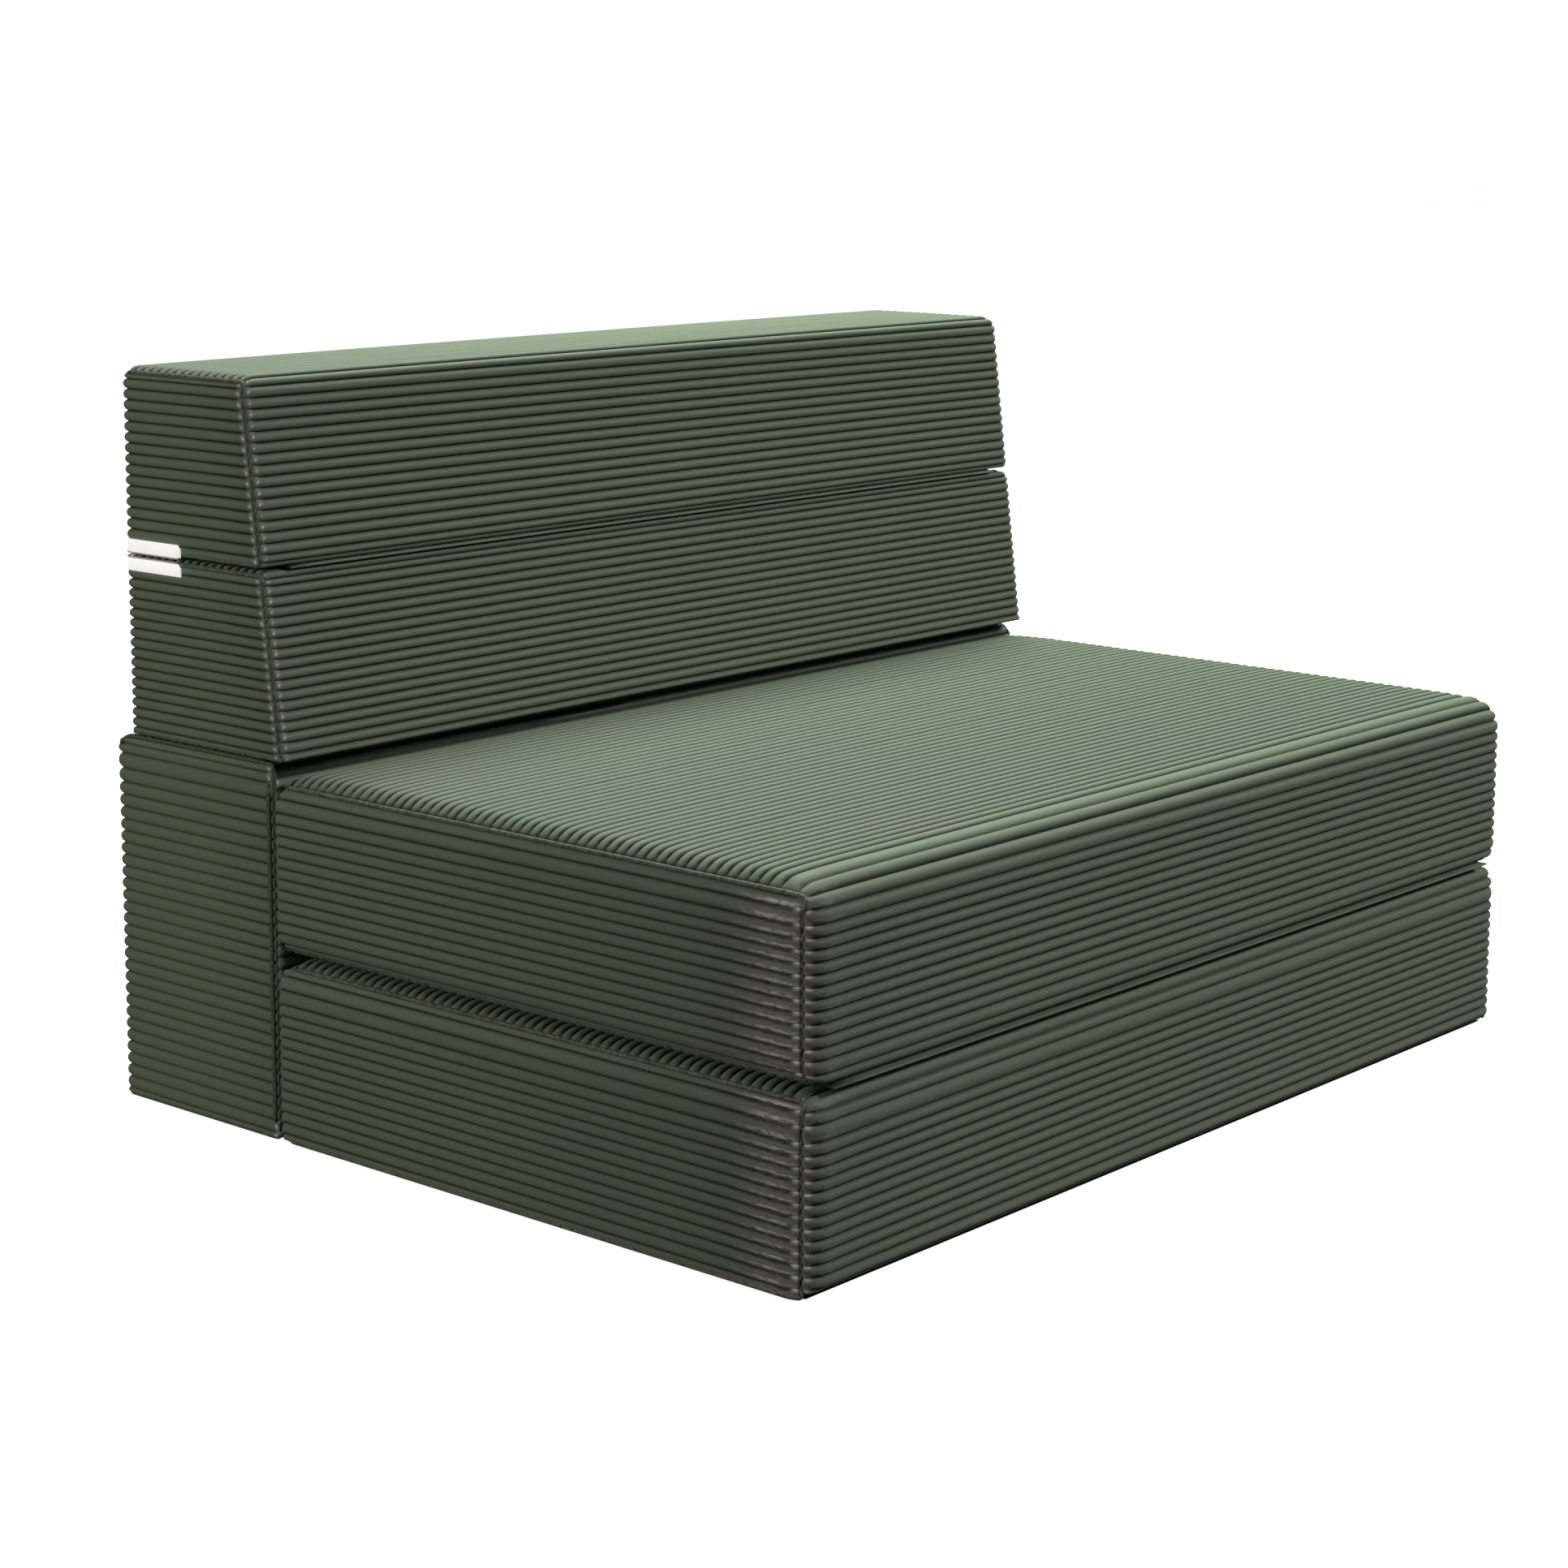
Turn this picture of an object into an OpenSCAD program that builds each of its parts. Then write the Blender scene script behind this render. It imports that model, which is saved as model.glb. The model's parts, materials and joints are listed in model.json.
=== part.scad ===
// Folding sofa bed: five corduroy-covered foam blocks.
// The seat is two blocks joined by a fabric hinge along the front, so the upper one turns over on to the floor.
// Behind it a tall rear base carries a two-block back whose front face leans back in one plane.
// The upper back block turns forward about a hinge along the front once the zip along its rear edge is open.
// Origin: middle of the footprint on the floor. +X is the sitter's left as seen from the front, +Y the rear, +Z up.

/* [Overall] */
// Width of every block, side to side
width = 990; // [800:5:1500]

/* [Seat] */
// Depth of both seat blocks, front to back
seat_depth = 566; // [450:1:600]
// Height of the lower seat block above the floor
seat_base_height = 154.5; // [110:0.5:200]
// Height of the upper seat block at its rim
seat_top_height = 148; // [110:0.5:150]
// How far the middle of the seat stands above its rim
seat_crown = 3; // [0.5:0.5:5]

/* [Rear base] */
// Depth of the tall block behind the seat
rear_base_depth = 205; // [160:1:300]
// How far the tall block stands above the rim of the seat
rear_base_rise = 13.3; // [13:0.1:60]
// Radius of the upright piping on its front edges
piping_r = 3; // [1.5:0.5:5]

/* [Back] */
// Height of the lower back block
back_lower_height = 153.8; // [120:0.2:200]
// Height of the upper back block at its rim
back_upper_height = 153.9; // [120:0.1:158]
// How far the front of the back overhangs the seat at its foot
back_overhang = 11; // [0:0.5:11]
// How far the front face leans back from the foot to the top
back_lean = 39.5; // [10:0.5:60]
// Step from the rear of the tall block to the rear of the back
back_setback = 20; // [10:1:60]
// How far the middle of the top stands above its rim
back_crown = 2; // [0.5:0.5:4]

/* [Covers] */
// Thickness of the wide-ribbed cover on the top, front and rear
fabric_thickness = 6; // [4:0.5:8]
// Thickness of the padded end panels
end_panel_thickness = 10; // [8:0.5:16]
// Distance from the edge of a block to the seam of its end panel
seam_inset = 6.5; // [5:0.5:12]
// Width of the groove at the end panel seam
seam_groove = 0.3; // [0.1:0.1:1]
// How far the free faces pull in midway between their corners
pull_in = 1.2; // [0:0.1:3]
// Thickness of the inner liner
liner_thickness = 1; // [0.5:0.1:2]
// Space between cover and liner, and between liner and foam
liner_gap = 0.3; // [0.1:0.1:1]
// Thickness of the non-slip sheet under the blocks on the floor
floor_sheet_thickness = 1; // [0.6:0.1:2]

/* [Edges] */
// Radius of the rounded upper edges of the seat blocks
seat_edge_r = 26; // [20:1:30]
// Radius of the lower edges of the upper seat block
seat_top_lower_edge_r = 22; // [8:1:24]
// Radius of the lower edges of the lower seat block
seat_base_lower_edge_r = 12; // [6:1:20]
// Radius of the upright corners of the seat blocks
seat_corner_r = 24; // [8:1:28]
// Radius of the long edges of the back blocks
back_edge_r = 10; // [9:0.5:11]
// Radius of the upright front corners of the back blocks
back_corner_r = 8; // [3:0.5:10]
// Radius of the upright rear corners of the back blocks
back_rear_corner_r = 12; // [6:1:16]
// Radius of the long edges of the rear base
rear_base_edge_r = 10; // [4:0.5:12]
// Radius of the upright front corners of the rear base
rear_base_front_corner_r = 4; // [2:0.5:6]
// Radius of the upright rear corners of the rear base
rear_base_corner_r = 20; // [6:1:24]

/* [Fold lines] */
// Thickness of the sewn hinge fabric and joining strips
hinge_thickness = 0.8; // [0.4:0.1:1.5]
// Running gap between two blocks that fold apart
fold_gap = 0.4; // [0.3:0.1:1]
// Width of hinge fabric sewn on to each block
hinge_reach = 64; // [50:1:120]
// Distance that hinge fabric and strips stop short of the block ends
hinge_end_gap = 30; // [28:1:100]
// Height of the strip that joins seat and rear base
joining_strip_height = 40; // [20:1:80]

/* [Zip] */
// Height of each white zip tape
zip_tape_height = 10.5; // [8:0.5:14]
// Thickness of the zip tape
zip_tape_thickness = 1.4; // [1:0.1:1.8]
// How far the zip wraps from the rear on to each side
zip_wrap = 75; // [40:1:120]
// Size of the angled cut at the ends of the tape
zip_end_cut = 4; // [1:0.5:7]
// Height of the coil at the edge of the tape
zip_coil_height = 1.5; // [1:0.1:1.5]
// Depth by which the coil stands out past the tape
zip_coil_relief = 0.3; // [0.1:0.1:0.5]
// Distance of the tape from the cover
zip_standoff = 0.3; // [0.2:0.1:0.5]
// Drop from the top of the lower back block to the coil
zip_drop = 1.9; // [1.9:0.1:3]
// Length of the slider along the zip
slider_length = 10; // [8:0.5:14]
// Thickness of the slider's plates
slider_plate = 1.2; // [0.8:0.1:1.3]
// Space between the slider and the zip
slider_gap = 0.2; // [0.15:0.05:0.25]
// Distance from the rounded rear corner to the slider
slider_parking = 15; // [10:1:200]
// Length of the pull tab
pull_length = 22; // [14:1:40]
// Width of the pull tab
pull_width = 6; // [5:0.5:10]
// Thickness of the pull tab
pull_thickness = 1.2; // [0.8:0.1:1.4]
// Radius of the pin that carries the pull tab
pull_pin_r = 0.6; // [0.5:0.05:0.8]

/* [Hidden] */
$fn = 48;

// Where the blocks stand
half_width = width / 2;
footprint_depth = seat_depth + hinge_thickness + rear_base_depth;
front_y = -footprint_depth / 2;
rear_y = footprint_depth / 2;
seat_rear_y = front_y + seat_depth;
rear_base_front_y = seat_rear_y + hinge_thickness;
fold_height = 2 * hinge_thickness + fold_gap;
seat_top_low = seat_base_height + fold_height;
seat_top_high = seat_top_low + seat_top_height;
rear_base_height = seat_top_high + rear_base_rise;
back_foot = rear_base_height + hinge_thickness;
back_lower_high = back_foot + back_lower_height;
back_upper_low = back_lower_high + fold_height;
back_upper_high = back_upper_low + back_upper_height;
back_rear_y = rear_y - back_setback;
function back_front(z) = seat_rear_y - back_overhang
    + back_lean * (z - back_foot) / (back_upper_high - back_foot);

// A block is its front at the foot, its front at the top, its rear, its foot and its top
FRONT_LOW = 0;
FRONT_HIGH = 1;
REAR = 2;
LOW = 3;
HIGH = 4;
SEAT_BASE = [front_y, front_y, seat_rear_y, floor_sheet_thickness, seat_base_height];
SEAT_TOP = [front_y, front_y, seat_rear_y, seat_top_low, seat_top_high];
REAR_BASE = [rear_base_front_y, rear_base_front_y, rear_y, floor_sheet_thickness, rear_base_height];
BACK_LOWER = [back_front(back_foot), back_front(back_lower_high), back_rear_y, back_foot, back_lower_high];
BACK_UPPER = [back_front(back_upper_low), back_front(back_upper_high), back_rear_y,
    back_upper_low, back_upper_high];

// A block's softness: radii of its lower and upper edges and its front and rear corners, its crown, its pull-in
LOW_R = 0;
HIGH_R = 1;
FRONT_R = 2;
REAR_R = 3;
CROWN = 4;
PULL = 5;
SEAT_BASE_SOFT = [seat_base_lower_edge_r, seat_edge_r, seat_corner_r, seat_corner_r, 0, pull_in];
SEAT_TOP_SOFT = [seat_top_lower_edge_r, seat_edge_r, seat_corner_r, seat_corner_r, seat_crown, pull_in];
REAR_BASE_SOFT = [rear_base_edge_r, rear_base_edge_r, rear_base_front_corner_r, rear_base_corner_r, 0, 0];
BACK_LOWER_SOFT = [back_edge_r, back_edge_r, back_corner_r, back_rear_corner_r, 0, pull_in];
BACK_UPPER_SOFT = [back_edge_r, back_edge_r, back_corner_r, back_rear_corner_r, back_crown, pull_in];

// How finely a soft form is drawn
arc_steps = 4;
side_steps = 6;
rise_steps = 3;
crown_steps = 3;
// Share of an edge's radius that shows on the ends of a block, where the cover is pulled tight
end_share = 0.7;
// Smallest radius left in a corner that an edge has eaten away
least_r = 1;
// Distance by which a cutting shape runs past what it cuts
past = 5;

// Colours as they look in daylight
corduroy = [0.29, 0.36, 0.28];
corduroy_end = [0.25, 0.30, 0.23];
liner_white = [0.93, 0.93, 0.90];
foam_cream = [0.95, 0.90, 0.72];
sheet_black = [0.12, 0.12, 0.12];
zip_white = [0.93, 0.93, 0.92];
slider_grey = [0.72, 0.73, 0.74];

function mix(a, b, t) = a + (b - a) * t;

function front_at(block, z) =
    mix(block[FRONT_LOW], block[FRONT_HIGH], (z - block[LOW]) / (block[HIGH] - block[LOW]));

// Points round a quarter circle
function corner(x, y, r, start) = [for (i = [0:arc_steps])
    [x + r * cos(start + 90 * i / arc_steps), y + r * sin(start + 90 * i / arc_steps)]];

// Points between two corners, pulled in by a shallow curve
function side(a, b, pull) = [for (i = [1:side_steps - 1])
    let (t = i / side_steps) mix(a, b, t) + pull * 4 * t * (1 - t)];

// The outline of a block seen from above, counter-clockwise from its front left corner
function outline(half, front, rear, front_r, rear_r, pull) = concat(
    corner(-half + front_r, front + front_r, front_r, 180),
    side([-half + front_r, front], [half - front_r, front], [0, pull]),
    corner(half - front_r, front + front_r, front_r, 270),
    side([half, front + front_r], [half, rear - rear_r], [-pull, 0]),
    corner(half - rear_r, rear - rear_r, rear_r, 0),
    side([half - rear_r, rear], [-half + rear_r, rear], [0, 0]),
    corner(-half + rear_r, rear - rear_r, rear_r, 90),
    side([-half, rear - rear_r], [-half, front + front_r], [pull, 0]));

// Heights of the rings of a block, with how far each is inset by the rounded edges
function levels(block, soft) =
    let (low = block[LOW], high = block[HIGH], low_r = soft[LOW_R], high_r = soft[HIGH_R])
    concat(
        [for (i = [0:arc_steps]) let (a = 90 * i / arc_steps) [low + low_r * (1 - cos(a)), low_r * (1 - sin(a))]],
        [for (i = [1:rise_steps - 1]) [mix(low + low_r, high - high_r, i / rise_steps), 0]],
        [for (i = [0:arc_steps]) let (a = 90 * i / arc_steps)
            [high - high_r * (1 - sin(a)), high_r * (1 - cos(a))]]);

// One ring of a block at a height and inset
function ring(block, soft, z, inset) =
    let (swell = sin(180 * (z - block[LOW]) / (block[HIGH] - block[LOW])))
    outline(half_width - inset * end_share, front_at(block, z) + inset, block[REAR] - inset,
        max(soft[FRONT_R] - inset, least_r), max(soft[REAR_R] - inset, least_r), soft[PULL] * swell);

// The crown: the topmost ring drawn towards the middle while it rises
function crown_ring(points, middle, share, z) = [for (p = points)
    let (q = mix(middle, p, share)) [q[0], q[1], z]];

// A soft block as rings joined by triangles, with its crown on top
module soft_block(block, soft) {
    rows = levels(block, soft);
    top = ring(block, soft, block[HIGH], soft[HIGH_R]);
    middle = [0, (block[FRONT_HIGH] + block[REAR]) / 2];
    foot_middle = [0, (block[FRONT_LOW] + block[REAR]) / 2, block[LOW]];
    walls = [for (row = rows) [for (p = ring(block, soft, row[0], row[1])) [p[0], p[1], row[0]]]];
    steps = soft[CROWN] > 0 ? crown_steps : 0;
    crowns = steps == 0 ? [] : [for (k = [1:steps]) let (share = 1 - k / (steps + 1))
        crown_ring(top, middle, share, block[HIGH] + soft[CROWN] * (1 - share * share))];
    rings = concat(walls, crowns);
    n = len(top);
    m = len(rings);
    points = concat([for (r = rings) each r], [foot_middle],
        [[middle[0], middle[1], block[HIGH] + soft[CROWN]]]);
    wall_faces = [for (j = [0:m - 2], i = [0:n - 1])
        let (a = j * n + i, b = j * n + (i + 1) % n) each [[a, a + n, b + n], [a, b + n, b]]];
    foot_faces = [for (i = [0:n - 1]) [n * m, i, (i + 1) % n]];
    top_faces = [for (i = [0:n - 1]) [n * m + 1, (m - 1) * n + (i + 1) % n, (m - 1) * n + i]];
    polyhedron(points, concat(wall_faces, foot_faces, top_faces), convexity = 4);
}

// A polygon with its corners rounded over a given reach
function rounded(points, reach) = [for (i = [0:len(points) - 1])
    let (p = points[i], before = points[(i + len(points) - 1) % len(points)], after = points[(i + 1) % len(points)],
        a = p + (before - p) / norm(before - p) * reach, b = p + (after - p) / norm(after - p) * reach)
    each [for (k = [0:arc_steps]) let (t = k / arc_steps) mix(mix(a, p, t), mix(p, b, t), t)]];

// A block's outline seen from its end, inset all round
function end_profile(block, inset, reach) = rounded([
    [front_at(block, block[LOW] + inset) + inset, block[LOW] + inset],
    [block[REAR] - inset, block[LOW] + inset],
    [block[REAR] - inset, block[HIGH] - inset],
    [front_at(block, block[HIGH] - inset) + inset, block[HIGH] - inset]], reach);

// A profile drawn in depth and height, run from one x to another
module along_x(profile, from, to) {
    translate([from, 0, 0]) rotate([90, 0, 90]) linear_extrude(to - from) polygon(profile);
}

// A rectangle with true round corners
module round_rectangle(low, high, r) {
    translate([low[0], low[1] + r]) square([high[0] - low[0], high[1] - low[1] - 2 * r]);
    translate([low[0] + r, low[1]]) square([high[0] - low[0] - 2 * r, high[1] - low[1]]);
    for (x = [low[0] + r, high[0] - r], y = [low[1] + r, high[1] - r]) translate([x, y]) circle(r);
}

// The inside of a block, inset from its faces and from its ends, with its long edges and upright corners eased
module inside(block, soft, inset, end_inset) {
    eased = max(soft[HIGH_R], soft[LOW_R]) - inset / 2;
    upright = max(soft[FRONT_R], soft[REAR_R]);
    intersection() {
        along_x(end_profile(block, inset, eased), -half_width + end_inset, half_width - end_inset);
        translate([0, 0, block[LOW]]) linear_extrude(block[HIGH] - block[LOW])
            polygon(rounded([
                [-half_width + end_inset, block[FRONT_LOW] + inset],
                [half_width - end_inset, block[FRONT_LOW] + inset],
                [half_width - end_inset, block[REAR] - inset],
                [-half_width + end_inset, block[REAR] - inset]], upright));
    }
}

// Corduroy wrap over the top, front, rear and underside, open at both ends for the end panels
module cover(block, soft) {
    opening = end_profile(block, seam_inset, soft[HIGH_R]);
    color(corduroy) difference() {
        soft_block(block, soft);
        inside(block, soft, fabric_thickness, end_panel_thickness);
        for (flip = [0, 1]) mirror([flip, 0, 0])
            along_x(opening, half_width - end_panel_thickness - past, half_width + past);
    }
}

// Padded end panel sewn into the end of the wrap; the other end is its mirror image
module end_panel(block, soft) {
    color(corduroy_end) intersection() {
        soft_block(block, soft);
        along_x(end_profile(block, seam_inset + seam_groove, soft[HIGH_R]),
            half_width - end_panel_thickness + seam_groove, half_width + past);
    }
}

// Thin bag that the foam sits in when the cover is washed
module liner(block, soft) {
    outer = fabric_thickness + liner_gap;
    color(liner_white) difference() {
        inside(block, soft, outer, end_panel_thickness + liner_gap);
        inside(block, soft, outer + liner_thickness, end_panel_thickness + liner_gap + liner_thickness);
    }
}

// Foam core
module foam(block, soft) {
    skin = 2 * liner_gap + liner_thickness;
    color(foam_cream) inside(block, soft, fabric_thickness + skin, end_panel_thickness + skin);
}

// Non-slip sheet on the flat part of a block's underside
module floor_sheet(block, soft) {
    inset = soft[LOW_R];
    color(sheet_black) linear_extrude(floor_sheet_thickness)
        round_rectangle([-half_width + inset, block[FRONT_LOW] + inset],
            [half_width - inset, block[REAR] - inset], soft[REAR_R] / 2);
}

// Half-round piping along the upright seam at each front edge of the rear base
module rear_base_piping() {
    inset = rear_base_edge_r + seam_inset;
    color(corduroy_end) for (flip = [0, 1]) mirror([flip, 0, 0])
        translate([half_width, rear_base_front_y + rear_base_front_corner_r + piping_r, inset])
            intersection() {
                cylinder(r = piping_r, h = rear_base_height - floor_sheet_thickness - 2 * inset);
                translate([0, -piping_r, 0]) cube([piping_r, 2 * piping_r, rear_base_height]);
            }
}

// Strip of hinge fabric lying on a block from just behind the fold line
module hinge_leaf(fold_y, foot) {
    color(corduroy_end) translate([-half_width + hinge_end_gap, fold_y + fold_gap, foot])
        cube([width - 2 * hinge_end_gap, hinge_reach, hinge_thickness]);
}

// Strip sewn between the lower seat block and the rear base
module seat_joining_strip() {
    low = floor_sheet_thickness + seat_edge_r;
    color(corduroy_end) translate([-half_width + hinge_end_gap, seat_rear_y, low])
        cube([width - 2 * hinge_end_gap, hinge_thickness, joining_strip_height]);
}

// Strip sewn between the rear base and the lower back block, along their front edges
module back_joining_strip() {
    from = rear_base_front_y + rear_base_edge_r;
    color(corduroy_end) translate([-half_width + hinge_end_gap, from, rear_base_height])
        cube([width - 2 * hinge_end_gap, hinge_reach, hinge_thickness]);
}

// Zip tape or coil: a band round the rear of the back, from one side to the other
module zip_band(inner, outer, height) {
    wrap_y = back_rear_y - zip_wrap;
    linear_extrude(height) intersection() {
        difference() {
            round_rectangle([-half_width - outer, back_front(back_foot)], [half_width + outer, back_rear_y + outer],
                back_rear_corner_r + outer);
            round_rectangle([-half_width - inner, back_front(back_foot) - past],
                [half_width + inner, back_rear_y + inner], back_rear_corner_r + inner);
        }
        translate([-half_width - past, wrap_y]) square([width + 2 * past, zip_wrap + past]);
    }
}

zip_inner = zip_standoff;
zip_outer = zip_standoff + zip_tape_thickness;
coil_outer = zip_outer + zip_coil_relief;
lower_coil_z = back_lower_high - zip_drop - zip_coil_height;
lower_tape_z = lower_coil_z - zip_tape_height;
upper_tape_z = back_upper_low;
upper_coil_z = upper_tape_z - zip_coil_height;

// Tape with the upper corner of each end cut at an angle
module zip_tape(foot) {
    wrap_y = back_rear_y - zip_wrap;
    top = foot + zip_tape_height;
    color(zip_white) difference() {
        translate([0, 0, foot]) zip_band(zip_inner, zip_outer, zip_tape_height);
        along_x([[wrap_y - past, top - zip_end_cut - past], [wrap_y + zip_end_cut + past, top + past],
            [wrap_y - past, top + past]], -half_width - past, half_width + past);
    }
}

module zip_coil(foot) {
    color(zip_white) translate([0, 0, foot]) zip_band(zip_inner, coil_outer, zip_coil_height);
}

// The slider grips the coil of the lower tape: a plate behind it, a plate outside it and a web over the coil
slider_x = half_width - back_rear_corner_r - slider_parking;
slider_inner_y = back_rear_y + zip_inner - slider_gap - slider_plate;
slider_outer_y = back_rear_y + coil_outer + slider_gap;
slider_back_y = slider_outer_y + slider_plate;
slider_web_z = lower_coil_z + zip_coil_height + slider_gap;
slider_web = 1;
slider_top = slider_web_z + slider_web;
slider_drop = 7;
pull_eye_r = pull_pin_r + 0.8;
pull_pin_clearance = 0.08;
pull_pin_y = slider_back_y + pull_eye_r + slider_gap;
pull_pin_z = slider_top - slider_drop / 2;
pull_lug = 0.8;
pull_eye_width = slider_length - 2 * pull_lug - 2 * slider_gap - 2 * pull_lug;

module zip_slider() {
    half = slider_length / 2;
    nose = slider_length / 4;
    color(slider_grey) translate([slider_x, 0, 0]) {
        // Outer plate with a tapered foot
        translate([0, slider_back_y, slider_top]) rotate([90, 0, 0]) linear_extrude(slider_plate)
            polygon([[-half, 0], [half, 0], [half, -slider_drop + nose], [half - nose, -slider_drop],
                [-half + nose, -slider_drop], [-half, -slider_drop + nose]]);
        // Web over the coil
        translate([-half, slider_inner_y, slider_web_z])
            cube([slider_length, slider_back_y - slider_inner_y, slider_web]);
        // Inner plate behind the coil
        translate([-half, slider_inner_y, lower_coil_z])
            cube([slider_length, slider_plate, slider_top - lower_coil_z]);
        // Lugs and pin for the pull
        for (sx = [-1, 1]) translate([sx * (half - pull_lug) - pull_lug / 2, slider_back_y, pull_pin_z])
            rotate([90, 0, 90]) linear_extrude(pull_lug) {
                translate([0, -pull_eye_r]) square([pull_pin_y - slider_back_y, 2 * pull_eye_r]);
                translate([pull_pin_y - slider_back_y, 0]) circle(pull_eye_r);
            }
        translate([-half + pull_lug, pull_pin_y, pull_pin_z]) rotate([0, 90, 0])
            cylinder(r = pull_pin_r, h = slider_length - 2 * pull_lug);
    }
}

// Pull tab hanging from the slider's pin, with a finger hole near its foot
module zip_pull() {
    hole_r = pull_width / 2 - 1.4;
    color(slider_grey) translate([slider_x, pull_pin_y, pull_pin_z]) difference() {
        union() {
            translate([-pull_eye_width / 2, 0, 0]) rotate([0, 90, 0]) cylinder(r = pull_eye_r, h = pull_eye_width);
            translate([-pull_eye_width / 2, -pull_thickness / 2, -2 * pull_eye_r])
                cube([pull_eye_width, pull_thickness, 2 * pull_eye_r]);
            translate([0, pull_thickness / 2, -pull_length + pull_width / 2]) rotate([90, 0, 0])
                linear_extrude(pull_thickness) {
                    circle(pull_width / 2);
                    translate([-pull_width / 2, 0])
                        square([pull_width, pull_length - pull_width / 2 - 2 * pull_eye_r]);
                }
        }
        translate([-pull_width, 0, 0]) rotate([0, 90, 0])
            cylinder(r = pull_pin_r + pull_pin_clearance, h = 2 * pull_width);
        translate([0, past, -pull_length + pull_width / 2]) rotate([90, 0, 0]) cylinder(r = hole_r, h = 2 * past);
    }
}

// The blocks
module left_end(block, soft) {
    mirror([1, 0, 0]) end_panel(block, soft);
}

module seat_hinge_lower_leaf() {
    hinge_leaf(front_y, seat_base_height);
}

module seat_hinge_upper_leaf() {
    hinge_leaf(front_y, seat_top_low - hinge_thickness);
}

module back_hinge_lower_leaf() {
    hinge_leaf(back_front(back_lower_high + fold_height / 2), back_lower_high);
}

module back_hinge_upper_leaf() {
    hinge_leaf(back_front(back_lower_high + fold_height / 2), back_upper_low - hinge_thickness);
}

cover(SEAT_BASE, SEAT_BASE_SOFT);  // seat_base_cover
left_end(SEAT_BASE, SEAT_BASE_SOFT);  // seat_base_end_left
end_panel(SEAT_BASE, SEAT_BASE_SOFT);  // seat_base_end_right
liner(SEAT_BASE, SEAT_BASE_SOFT);  // seat_base_liner
foam(SEAT_BASE, SEAT_BASE_SOFT);  // seat_base_foam
floor_sheet(SEAT_BASE, SEAT_BASE_SOFT);  // seat_base_floor_sheet
cover(SEAT_TOP, SEAT_TOP_SOFT);  // seat_top_cover
left_end(SEAT_TOP, SEAT_TOP_SOFT);  // seat_top_end_left
end_panel(SEAT_TOP, SEAT_TOP_SOFT);  // seat_top_end_right
liner(SEAT_TOP, SEAT_TOP_SOFT);  // seat_top_liner
foam(SEAT_TOP, SEAT_TOP_SOFT);  // seat_top_foam
cover(REAR_BASE, REAR_BASE_SOFT);  // rear_base_cover
left_end(REAR_BASE, REAR_BASE_SOFT);  // rear_base_end_left
end_panel(REAR_BASE, REAR_BASE_SOFT);  // rear_base_end_right
liner(REAR_BASE, REAR_BASE_SOFT);  // rear_base_liner
foam(REAR_BASE, REAR_BASE_SOFT);  // rear_base_foam
floor_sheet(REAR_BASE, REAR_BASE_SOFT);  // rear_base_floor_sheet
rear_base_piping();
cover(BACK_LOWER, BACK_LOWER_SOFT);  // back_lower_cover
left_end(BACK_LOWER, BACK_LOWER_SOFT);  // back_lower_end_left
end_panel(BACK_LOWER, BACK_LOWER_SOFT);  // back_lower_end_right
liner(BACK_LOWER, BACK_LOWER_SOFT);  // back_lower_liner
foam(BACK_LOWER, BACK_LOWER_SOFT);  // back_lower_foam
cover(BACK_UPPER, BACK_UPPER_SOFT);  // back_upper_cover
left_end(BACK_UPPER, BACK_UPPER_SOFT);  // back_upper_end_left
end_panel(BACK_UPPER, BACK_UPPER_SOFT);  // back_upper_end_right
liner(BACK_UPPER, BACK_UPPER_SOFT);  // back_upper_liner
foam(BACK_UPPER, BACK_UPPER_SOFT);  // back_upper_foam
seat_hinge_lower_leaf();
seat_hinge_upper_leaf();
back_hinge_lower_leaf();
back_hinge_upper_leaf();
seat_joining_strip();
back_joining_strip();
zip_tape(lower_tape_z);  // lower_zip_tape
zip_coil(lower_coil_z);  // lower_zip_coil
zip_tape(upper_tape_z);  // upper_zip_tape
zip_coil(upper_coil_z);  // upper_zip_coil
zip_slider();
zip_pull();
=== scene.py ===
# %% [markdown]
# # A folding sofa bed in wide-ribbed cloth
#
# The sofa bed is five foam blocks in zipped covers of quilted corduroy, whose every rib is a soft tube.
# Two seat blocks open like a book, a tall block stands behind them, and on that stand two back blocks
# that share one leaning front.
#
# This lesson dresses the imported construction, which holds the sizes, the fold lines and the zip. Every
# soft piece is made again as a maker would make it: a flat cloth is drawn as a grid, rolled round its
# block, sewn to itself and pressed into ribs.
#
# Everything is in metres, with +Z up and the origin on the floor in the middle of the footprint.

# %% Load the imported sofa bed
import json
import math

import bmesh
import bpy
import numpy as np
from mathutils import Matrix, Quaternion, Vector, noise


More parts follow.
